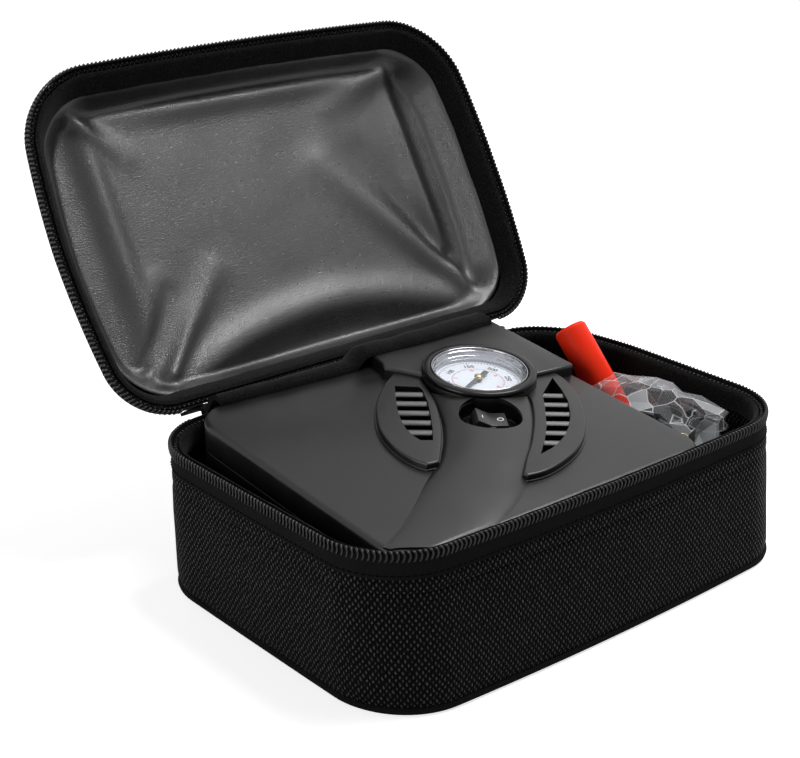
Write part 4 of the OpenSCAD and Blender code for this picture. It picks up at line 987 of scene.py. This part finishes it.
def fold_height(p):
    """Soft ridges and valleys, each full at its start and faded to a quarter at its end."""
    total = 0.0
    for start, end, width, height in folds:
        a, b = Vector(start), Vector(end)
        t = max(0.0, min(1.0, (p - a).dot(b - a) / (b - a).length_squared))
        away = (p - a.lerp(b, t)).length / (width * (0.7 + 0.6 * t))
        total += fold_strength * height * math.exp(-away ** 2) * (1 - 0.75 * t)
    return total


def ridge_height(p):
    """Long ridges beside the four edges, and the arch."""
    return ridge_strength * (1.4 * math.exp(-((p.y - arch(p.x)) / 11) ** 2)
                             + 0.9 * math.exp(-((p.y + half_depth - 21) / 6) ** 2 - ((p.x - 5) / 70) ** 4)
                             + 1.2 * math.exp(-((p.x + half_width - 36) / 7) ** 2 - ((p.y + 20) / 60) ** 4)
                             + 0.8 * math.exp(-((p.x - half_width + 32) / 5) ** 2 - (p.y / 70) ** 4))


def lining_height(p):
    """Height of the lining above its deepest level: a padded field, folds and ridges."""
    field = (smooth_step(20 - half_width, 37 - half_width, p.x)
             * smooth_step(20 - half_width, 34 - half_width, -p.x)
             * smooth_step(7 - half_depth, 21 - half_depth, p.y)
             * smooth_step(-20, -2, arch(p.x) - p.y))
    return lining_swell * field + fold_height(p) + ridge_height(p)


lining = bmesh.new()
bmesh.ops.create_grid(lining, x_segments=lining_columns, y_segments=lining_rows, size=1)
for v in lining.verts:
    a, b = v.co.x, v.co.y
    p = rounded(a, b, lining_width, lining_depth_size, lining_corner)
    fall = smooth_step(0.002, 0.095, 1 - max(abs(a), abs(b)))
    small = noise.noise(Vector((p.x, p.y, 0)) / (26 * mm)) * 0.35 * fall
    depth = velour_height / mm + lining_drop - lining_rim / mm - lining_height(p / mm)
    v.co = on_lid(p, lining_rim + (fall * depth + small) * mm)
bmesh.ops.recalc_face_normals(lining, faces=lining.faces)
lining_piece = add_piece("case_lid_lining", lining, "lid", "lining_leather", ["lid_lining"], crease=180)
thicken = lining_piece.modifiers.new("foam", "SOLIDIFY")
thicken.thickness = 1.2 * mm
thicken.offset = -1

# %% [markdown]
# ## Compressor housing
#
# The top plate slopes to the front. A crowned spine curls across it from the gauge to the left front
# corner, a hood stands behind the gauge, and two crescent vents flank the spine.

# %% Sizes of the housing
plate_height = 80 * mm
plate_slope = math.radians(6)
on_plate = Matrix.Translation((0, 0, plate_height)) @ Matrix.Rotation(plate_slope, 4, "X")
gauge_at = Vector((24, 24, 0)) * mm
switch_at = Vector((-0.9, -12, 0)) * mm
console_turn = math.radians(-34)
on_gauge = on_plate @ Matrix.Translation(gauge_at)
on_switch = on_plate @ Matrix.Translation(switch_at) @ Matrix.Rotation(console_turn, 4, "Z")
unit_low = Vector((-118, -86)) * mm
unit_high = Vector((75, 76)) * mm
unit_middle = (unit_low + unit_high) / 2
unit_size = unit_high - unit_low
skirt = 14 * mm
recess_radius = 16 * mm
bezel_radius = 29.7 * mm
gauge_hole_radius = 25.2 * mm
left_corner, right_corner = 20 * mm, 12 * mm
unit_corners = (left_corner, left_corner, right_corner, right_corner)
unit_rim = Rim(unit_size.x, unit_size.y, unit_corners, 0, 0, rim_step)


def on_cover(p, up):
    """A rim point of the housing at a height above or below the sloping plate."""
    x, y = p + unit_middle
    return Vector((x, y, plate_height + y * math.tan(plate_slope) + up))


# %% Shapes that cut
bore_depth = 40 * mm


def bore(radius, matrix):
    """A cylinder that goes right through the cover, half of it above the matrix's plane."""
    bm = bmesh.new()
    bmesh.ops.create_cone(bm, cap_ends=True, segments=96, radius1=radius, radius2=radius, depth=bore_depth)
    bmesh.ops.transform(bm, matrix=matrix, verts=bm.verts)
    return bm


def block(size, matrix):
    """A box of the given size in the middle of the matrix."""
    bm = bmesh.new()
    bmesh.ops.create_cube(bm, size=1)
    bmesh.ops.scale(bm, vec=size, verts=bm.verts)
    bmesh.ops.transform(bm, matrix=matrix, verts=bm.verts)
    return bm


def together(parts):
    """Several bmeshes as one."""
    result = bmesh.new()
    for part in parts:
        mesh = bpy.data.meshes.new("part")
        part.to_mesh(mesh)
        part.free()
        result.from_mesh(mesh)
        bpy.data.meshes.remove(mesh)
    return result


def through(points, steps):
    """A smooth curve through points, with some steps from each point to the next."""
    places = [Vector(p) for p in [points[0], *points, points[-1]]]
    curve = []
    for a, b, c, d in zip(places, places[1:], places[2:], places[3:]):
        for k in range(steps):
            t = k / steps
            curve.append((b * 2 + (c - a) * t + (a * 2 - b * 5 + c * 4 - d) * t**2
                          + (b * 3 - a - c * 3 + d) * t**3) / 2)
    return curve + [places[-1]]


def raised(points, low, high, rounding=0, segments=5):
    """A prism on the plate with a rounded upper edge."""
    bm = bmesh.new()
    corners = [bm.verts.new((x * mm, y * mm, low)) for x, y in points]
    bm.faces.new(corners)
    bmesh.ops.recalc_face_normals(bm, faces=bm.faces)
    made = bmesh.ops.extrude_face_region(bm, geom=bm.faces[:])["geom"]
    top = [g for g in made if isinstance(g, bmesh.types.BMVert)]
    bmesh.ops.translate(bm, vec=(0, 0, high - low), verts=top)
    rim_edges = [e for e in bm.edges if all(v in top for v in e.verts)]
    bmesh.ops.recalc_face_normals(bm, faces=bm.faces)
    if rounding:
        bmesh.ops.bevel(bm, geom=rim_edges, offset=rounding, segments=segments, profile=0.5,
                        affect="EDGES", material=-1, clamp_overlap=True)
    bmesh.ops.transform(bm, matrix=on_plate, verts=bm.verts)
    return bm


# %% Openings of the vents, in millimetres on the plate
left_opening = [(-19.5, 38.8), (-28.5, 27), (-35, 18), (-40, 9.6), (-44, 1), (-45.8, -6), (-45.7, -12),
                (-40.7, -15.2), (-34.5, -8), (-25.5, 4), (-17.2, 15.8), (-10.1, 28.5), (-9.9, 31.5)]
right_opening = [(55.9, 2.6), (38.1, -8.4), (30.2, -18.3), (15.9, -34.2), (5.7, -43.6), (-6.5, -53.3),
                 (2, -52), (9.1, -49.7), (16.6, -46.2), (25.7, -40), (34.8, -31.8), (44.1, -20.7),
                 (50.4, -9.6)]


def opening(points):
    """What is cut out of pad and cover for a vent."""
    return raised(points, -12 * mm, 12 * mm)


# %% Top cover
cover_profile = [(-2.5 * mm, -2.5 * mm), (-2.5 * mm, -skirt), (0, -skirt), (0, -3 * mm),
                 (-0.25 * mm, -1.8 * mm), (-0.9 * mm, -0.9 * mm), (-1.8 * mm, -0.25 * mm), (-3 * mm, 0)]
cover = close_ends(sweep(unit_rim, cover_profile, on_cover))
cover = carved(cover, together([bore(gauge_hole_radius, on_gauge), bore(recess_radius, on_switch),
                                opening(left_opening), opening(right_opening)]))
add_piece("inflator_cover", cover, "case", "housing_plastic", ["upper_cover"], crease=50)


# %% [markdown]
# ### Spine
#
# The spine is a crowned strip between two curves, wide and high beside the gauge, narrower and lower at
# the left front corner. A grid is laid between the curves, raised to the crown, kept inside the cover's
# rounded edge and closed to a solid, so that the bores for gauge and switch can be cut out of it.


# %% Spine
def corner_radius_at(p):
    """The cover's corner radius on the side where p lies."""
    return left_corner if p.x < unit_middle.x else right_corner


def inside_cover(p, inset):
    """The nearest point that stays inside the cover's rounded edge."""
    radius = corner_radius_at(p)
    half = unit_size / 2
    local = p - unit_middle
    centre = Vector((math.copysign(half.x - radius, local.x), math.copysign(half.y - radius, local.y)))
    if abs(local.x) > abs(centre.x) and abs(local.y) > abs(centre.y):
        away = local - centre
        reach = radius - inset
        return unit_middle + centre + (away.normalized() * reach if away.length > reach else away)
    return unit_middle + Vector((max(inset - half.x, min(half.x - inset, local.x)),
                                 max(inset - half.y, min(half.y - inset, local.y))))


def room_to_edge(p):
    """Distance from a point of the plate to the cover's edge."""
    radius = corner_radius_at(p)
    local = p - unit_middle
    half = unit_size / 2
    past = Vector((abs(local.x) - half.x + radius, abs(local.y) - half.y + radius))
    if past.x > 0 and past.y > 0:
        return radius - past.length
    return radius - max(past.x, past.y)


curve_steps = 8
spine_left = through([(-4, 34), (-11.5, 17), (-21, 1), (-34, -15), (-47, -27), (-57, -33.5), (-69, -41.5),
                      (-80, -49.5), (-91, -57), (-103, -64.3), (-119, -72)], curve_steps)
spine_right = through([(41, 8), (37.5, -3), (30.5, -13.5), (18, -28.5), (2, -43.5), (-13, -56), (-25, -65),
                       (-40, -75), (-56, -82.5), (-72, -87.5), (-90, -91)], curve_steps)
spine_heights = [8.2, 7.4, 6.6, 6.0, 5.6, 5.1, 4.4, 3.6, 2.7, 1.9, 1.2]
spine_columns = 36
edge_inset = 0.7 * mm
spine_foot = -1.2 * mm
spine = bmesh.new()
bmesh.ops.create_grid(spine, x_segments=spine_columns, y_segments=len(spine_left) - 1, size=1)
for v in spine.verts:
    row = round((v.co.y + 1) / 2 * (len(spine_left) - 1))
    across = v.co.x
    p = inside_cover(spine_left[row].lerp(spine_right[row], (across + 1) / 2) * mm, edge_inset)
    crown = max(0.0, 1 - abs(across) ** 2.2) ** 0.75
    i = min(row // curve_steps, len(spine_heights) - 2)
    height = spine_heights[i] + (spine_heights[i + 1] - spine_heights[i]) * (row / curve_steps - i)
    v.co = Vector((p.x, p.y, height * mm * crown * smooth_step(0, 2 * mm, room_to_edge(p)) - 0.15 * mm))
bmesh.ops.remove_doubles(spine, verts=spine.verts, dist=1e-5)
border = [e for e in spine.edges if e.is_boundary]
walls = bmesh.ops.extrude_edge_only(spine, edges=border)["geom"]
for v in [g for g in walls if isinstance(g, bmesh.types.BMVert)]:
    v.co.z = spine_foot
close_ends(spine)
bmesh.ops.transform(spine, matrix=on_plate, verts=spine.verts)
spine = carved(spine, bore(bezel_radius, on_gauge))
spine = carved(spine, bore(recess_radius, on_switch))
add_piece("inflator_spine", spine, "case", "housing_plastic", crease=35)

# %% [markdown]
# ### Hood
#
# A raised panel stands behind the gauge and runs out to the back right corner. It is a prism with a
# rounded upper edge, out of which the gauge's bore is cut.

# %% Hood
hood_points = [(46, 8), (60, 6.2), (72.5, 4.8), (74.3, 6.8), (74.3, 72), (71, 75.3), (-9, 75.3), (-11, 60),
               (-13.8, 54), (-8.5, 48.3), (-3, 39), (10, 24)]
hood = raised(hood_points, -0.5 * mm, 6 * mm, 1.6 * mm)
hood = carved(hood, bore(bezel_radius, on_gauge))
add_piece("inflator_hood", hood, "case", "housing_plastic", crease=50)

# %% [markdown]
# ## Gauge rings
#
# Collar, bezel and bright ring are turned parts, so each is half an outline that is spun round the
# gauge's axis. Arcs in the outline give the rolled edges their highlights.


# %% Turned shapes
def turned(profile, steps, matrix):
    """Spins an outline of (radius, height) points in millimetres round the z axis."""
    bm = bmesh.new()
    chain = [bm.verts.new((r * mm, 0, z * mm)) for r, z in profile]
    edges = [bm.edges.new(pair) for pair in zip(chain, chain[1:])]
    bmesh.ops.spin(bm, geom=chain + edges, cent=(0, 0, 0), axis=(0, 0, 1), angle=2 * math.pi,
                   steps=steps, use_merge=True)
    bmesh.ops.remove_doubles(bm, verts=bm.verts, dist=1e-6)
    bmesh.ops.recalc_face_normals(bm, faces=bm.faces)
    bmesh.ops.transform(bm, matrix=matrix, verts=bm.verts)
    return bm


def arc(cx, cz, radius, start, end, steps=5):
    """Points of an arc round (cx, cz), from one angle to another in degrees."""
    return [(cx + radius * math.cos(math.radians(start + (end - start) * k / steps)),
             cz + radius * math.sin(math.radians(start + (end - start) * k / steps)))
            for k in range(steps + 1)]


collar = [(25.2, -2), (25.2, 5.9), (29.4, 5.9), (29.5, 5.6), (29.5, -0.5), (29, -2), (25.2, -2)]
add_piece("gauge_collar", turned(collar, 120, on_gauge), "case", "housing_plastic")
bezel = [(25.15, 6.05), (29.3, 6.05), *arc(27.9, 7.2, 1.7, -30, 90, 8), *arc(26.2, 7.9, 1.0, 90, 180),
         (25.15, 6.05)]
add_piece("gauge_bezel_ring", turned(bezel, 144, on_gauge), "case", "bezel_plastic", ["gauge_bezel"])
ring = [(23.9, -1), (25, -1), (25, 8.3), *arc(24.5, 8.3, 0.5, 0, 180, 8), (23.9, 7.4), (23.5, 7.15),
        (23.5, 5.2), (23.3, 4.9), (22.9, 4.7), (22.9, 3.6), (22.7, 3.3), (22.4, 3.1), (22.4, 1.55),
        (23.9, 1.55), (23.9, -1)]
add_piece("gauge_ring", turned(ring, 144, on_gauge), "case", "bright_ring", ["gauge_chrome_ring"], crease=25)

# %% [markdown]
# ## Vents
#
# Each vent is a thick crescent pad with a rounded rim and a thin flange round its foot. One long opening
# goes through pad and cover, and a row of sloping blades stands in it, trimmed to the opening's shape.

# %% Vent pads
left_outer = through([(-4.7, 54), (-21.4, 44.3), (-36.2, 32.1), (-46.7, 20), (-55.7, 5.6), (-60.2, -9.1),
                      (-60.8, -22), (-58.1, -31.2)], 5)
left_inner = through([(-51.5, -32.3), (-34.6, -14.6), (-21.8, 1.4), (-12.2, 16.4), (-5.2, 31.7),
                      (-0.9, 42.6)], 5)
right_outer = through([(-25.5, -64.5), (-15.9, -66), (-3.7, -64.4), (12.3, -59), (27.9, -48.8), (42, -34.6),
                       (53.8, -18), (60.8, -2.5), (62, 9.4)], 5)
right_inner = through([(46, 9.4), (34, 0), (27, -12), (14.5, -26.5), (-1.5, -41.5), (-16, -53),
                       (-26, -62)], 5)
pad_height = 3.8 * mm
flange_reach = 0.9
blade_turn = Matrix.Rotation(console_turn, 4, "Z") @ Matrix.Rotation(math.radians(24), 4, "X")
uphill = Vector((-math.sin(console_turn), math.cos(console_turn)))
for side, outline, gap, first, pitch, count, reach in (
    ("left", left_outer + left_inner, left_opening, (-17, 31.5), (-5.3, -8.5), 5, 3.3),
    ("right", right_outer + right_inner, right_opening, (44.3, -8.9), (-6.6, -7.6), 6, 3.0),
):
    middle = sum(outline, Vector((0, 0))) / len(outline)
    flange = [p + (p - middle).normalized() * flange_reach for p in outline]
    pad = together([raised(outline, -0.3 * mm, pad_height, 1.1 * mm, 4),
                    raised(flange, -0.4 * mm, 0.9 * mm, 0.3 * mm)])
    pad = carved(pad, together([opening(gap), bore(recess_radius + 0.5 * mm, on_switch),
                                bore(bezel_radius, on_gauge)]))
    add_piece(f"vent_pad_{side}", pad, "case", "housing_plastic", [f"{side}_vent_grille"], crease=40)
    blades = []
    for k in range(count):
        place = Vector(first) + Vector(pitch) * k - uphill * reach / 2 * 0.9
        spot = on_plate @ Matrix.Translation((place.x * mm, place.y * mm, 1.9 * mm)) @ blade_turn
        blades.append(block((26 * mm, reach * mm, 1 * mm), spot))
    blades = together(blades)
    bmesh.ops.bevel(blades, geom=blades.edges[:], offset=0.25 * mm, segments=2, profile=0.5,
                    affect="EDGES", material=-1)
    blades = carved(blades, raised(gap, -11 * mm, 11 * mm), "INTERSECT")
    add_piece(f"vent_blades_{side}", blades, "case", "housing_plastic", crease=30)

# %% [markdown]
# ## Switch recess
#
# The rocker sits in a round cup that is sunk into the spine. The cup is turned, and the seat of the
# switch frame is cut out of its floor.

# %% Switch recess
cup_profile = [(15.95, 4.2), (15.6, 4.1), (15.5, -2.9), (15.1, -3.2), (0.01, -3.2), (0.01, -3.9),
               (15.95, -3.9), (15.95, 4.2)]
cup = turned(cup_profile, 96, on_plate @ Matrix.Translation(switch_at))
cup = carved(cup, block((18.5 * mm, 14.5 * mm, 30 * mm), on_switch))
add_piece("switch_cup", cup, "case", "bezel_plastic", crease=30)

# %% [markdown]
# ## Dial
#
# The card carries two scales: black figures outside and small red ones inside. Figures are text turned
# into flat meshes, and ticks are thin blocks. The needle's hub and the rocker's marks are made the same
# ways, and ride on the parts that move.

# %% Dial card and marks
dial_turn = math.radians(-24)
needle_zero = 225
full_sweep = 270
dial_top = 1.5 * mm
card_piece = turned([(1.3, 0.6), (22.35, 0.6), (22.35, 1.5), (1.3, 1.5), (1.3, 0.6)], 96, on_gauge)
add_piece("dial_card", card_piece, "case", "dial_print", ["gauge_dial"])
black_ink = finish("ink_black", (0.012, 0.012, 0.014), 0.6)
black_ink.bump((black_ink.noise(2000, 2), 0.01 * mm, 0.3))
red_ink = finish("ink_red", (0.55, 0.03, 0.03), 0.6)
red_ink.bump((red_ink.noise(2000, 2), 0.01 * mm, 0.3))


def dial_place(share, radius):
    """Matrix on the card at a share of the scale, with y pointing away from the centre."""
    angle = math.radians(needle_zero - full_sweep * share) + dial_turn
    return (on_gauge @ Matrix.Translation((radius * math.cos(angle), radius * math.sin(angle), dial_top))
            @ Matrix.Rotation(angle - math.pi / 2, 4, "Z"))


def figure(text, size, matrix):
    """A word as a flat mesh, centred on the matrix."""
    data = bpy.data.curves.new(text, "FONT")
    data.body = text
    data.size = size
    data.offset = size * 0.03
    data.align_x = data.align_y = "CENTER"
    data.resolution_u = 3
    holder = bpy.data.objects.new(text, data)
    scene.collection.objects.link(holder)
    mesh = bpy.data.meshes.new_from_object(holder)
    bm = bmesh.new()
    bm.from_mesh(mesh)
    bpy.data.objects.remove(holder)
    bpy.data.meshes.remove(mesh)
    bmesh.ops.transform(bm, matrix=matrix, verts=bm.verts)
    return bm


ink_lift = Matrix.Translation((0, 0, 0.03 * mm))
marks = {"black": [], "red": []}
for ink, ticks, every, outer, long_tick, thickness in (("black", 60, 10, 21.2, 2.4, 0.34),
                                                       ("red", 80, 10, 13.8, 1.5, 0.26)):
    for k in range(ticks + 1):
        length = long_tick if k % every == 0 else long_tick * (0.75 if k % (every // 2) == 0 else 0.5)
        spot = dial_place(k / ticks, (outer - length / 2) * mm)
        marks[ink].append(block((thickness * mm, length * mm, 0.02 * mm), spot @ ink_lift))
for k in range(7):
    marks["black"].append(figure(str(50 * k), 3.8 * mm, dial_place(k / 6, 16.2 * mm) @ ink_lift))
for k in range(5):
    marks["red"].append(figure(str(5 * k), 2.2 * mm, dial_place(k / 4, 11.4 * mm) @ ink_lift))
for ink, parts in marks.items():
    printed = add_piece(f"dial_marks_{ink}", together(parts), "case", "dial_print")
    printed.data.materials[0] = finishes[f"ink_{ink}"].material

# %% Hub of the needle
hub = [(0.01, 4.9), *arc(0.6, 4.3, 0.6, 90, 20, 4), (1.9, 4.3), (2.3, 3.9), (2.3, 3.5), (0.01, 3.5)]
add_piece("needle_hub", turned(hub, 48, on_gauge), "needle", "brass")

# %% Rocker marks
rocker_pivot = on_switch @ Matrix.Translation((0, 0, -0.5 * mm)) @ Matrix.Rotation(math.radians(10), 4, "Y")
face_slope = math.atan2(2.0, 9.0)
white_ink = finish("ink_white", (0.75, 0.75, 0.75), 0.5)
white_ink.bump((white_ink.noise(2000, 2), 0.01 * mm, 0.3))
mark_away = 4.6 * mm
rocker_marks = []
for side in (-1, 1):
    spot = (rocker_pivot @ Matrix.Translation((side * mark_away, 0, 3.66 * mm))
            @ Matrix.Rotation(-side * face_slope, 4, "Y"))
    if side < 0:
        rocker_marks.append(block((0.5 * mm, 2.8 * mm, 0.08 * mm), spot))
    else:
        ring_outline = [(1.15, -0.04), (1.15, 0.04), (1.7, 0.04), (1.7, -0.04), (1.15, -0.04)]
        rocker_marks.append(turned(ring_outline, 32, spot))
marks_piece = add_piece("rocker_marks", together(rocker_marks), "rocker", "switch_plastic")
marks_piece.data.materials[0] = white_ink.material

# %% [markdown]
# ## Accessories
#
# A red plastic tube leans out of the side bay, with a clear crumpled bag of adaptors beside it. The bag
# is a ball pushed out to a box and dented by noise. Thinning its faces leaves the flat facets and sharp
# creases of stiff film.

# %% Red tube
tube_top = Vector((100.5, 35, 92)) * mm
on_tube = (Matrix.Translation(tube_top) @ Matrix.Rotation(math.radians(-4.5), 4, "Y")
           @ Matrix.Rotation(math.radians(-41), 4, "X"))
tube_outline = [(0.01, -75), (8, -75), (9, -74), (9, -2.5), *arc(6.5, -2.5, 2.5, 0, 90, 6), (0.01, 0)]
add_piece("red_tube_body", turned(tube_outline, 72, on_tube), "case", "red_plastic", ["red_tube"], crease=60)

# %% Crumpled bag
bag_size_factor = 1.08
bag_faces_kept = 0.018
bag_low, bag_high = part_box("polybag")
bag_middle = (bag_low + bag_high) / 2 + Vector((0, 8, 4)) * mm
bag_half = (bag_high - bag_low) / 2 + Vector((0, 6, 2)) * mm
bag = bmesh.new()
bmesh.ops.create_icosphere(bag, subdivisions=6, radius=1)
for v in bag.verts:
    d = v.co.normalized()
    box = max(abs(d.x), abs(d.y), abs(d.z))
    p = d / (box * 0.5 + 0.5)
    crumple = (abs(noise.noise(p * 2.6)) * 0.22 + abs(noise.noise(p * 5.5 + Vector((7, 3, 1)))) * 0.16
               + abs(noise.noise(p * 12)) * 0.05)
    boxed = Vector((p.x * bag_half.x, p.y * bag_half.y, p.z * bag_half.z))
    v.co = bag_middle + boxed * (bag_size_factor - crumple)
bag = modified(bag, "DECIMATE", ratio=bag_faces_kept)
add_piece("adaptor_bag_film", bag, "case", "clear_film", ["polybag"], crease=14)

# %% [markdown]
# ## Carried-over parts
#
# The rest of the mechanical model is right as it is. Welding its loose triangles lets a small bevel
# catch the light along its edges, and every node takes the finish of its slot.

# %% Finish the mechanical parts
slot_of = {row["node"]: row["material_slot"] for row in frame["record"]["subparts"]}
bevels = {"rocker": 0.6, "switch_frame": 0.35, "gauge_needle": 0.12, "lower_housing": 0.6,
          "outlet_nipple": 0.3, "zip_slider": 0.4, "pull_tab": 0.35, "adaptor_cones": 0.3,
          "brass_adaptor": 0.3, "cord_gland": 0.4}
for node, part in frame["nodes"].items():
    part.data.materials.clear()
    part.data.materials.append(finishes[slot_of[node]].material)
    if node in bevels and not part.hide_render:
        weld = part.modifiers.new("weld", "WELD")
        weld.merge_threshold = 1e-6
        flat = part.modifiers.new("flat", "DECIMATE")
        flat.decimate_type = "DISSOLVE"
        flat.angle_limit = math.radians(0.5)
        bevel = part.modifiers.new("edges", "BEVEL")
        bevel.width = bevels[node] * mm
        bevel.segments = 3
        bevel.limit_method = "ANGLE"
        bevel.angle_limit = math.radians(40)
        bevel.harden_normals = True
        part.data.shade_smooth()

# %% Bring the scene up to date
bpy.context.view_layer.update()
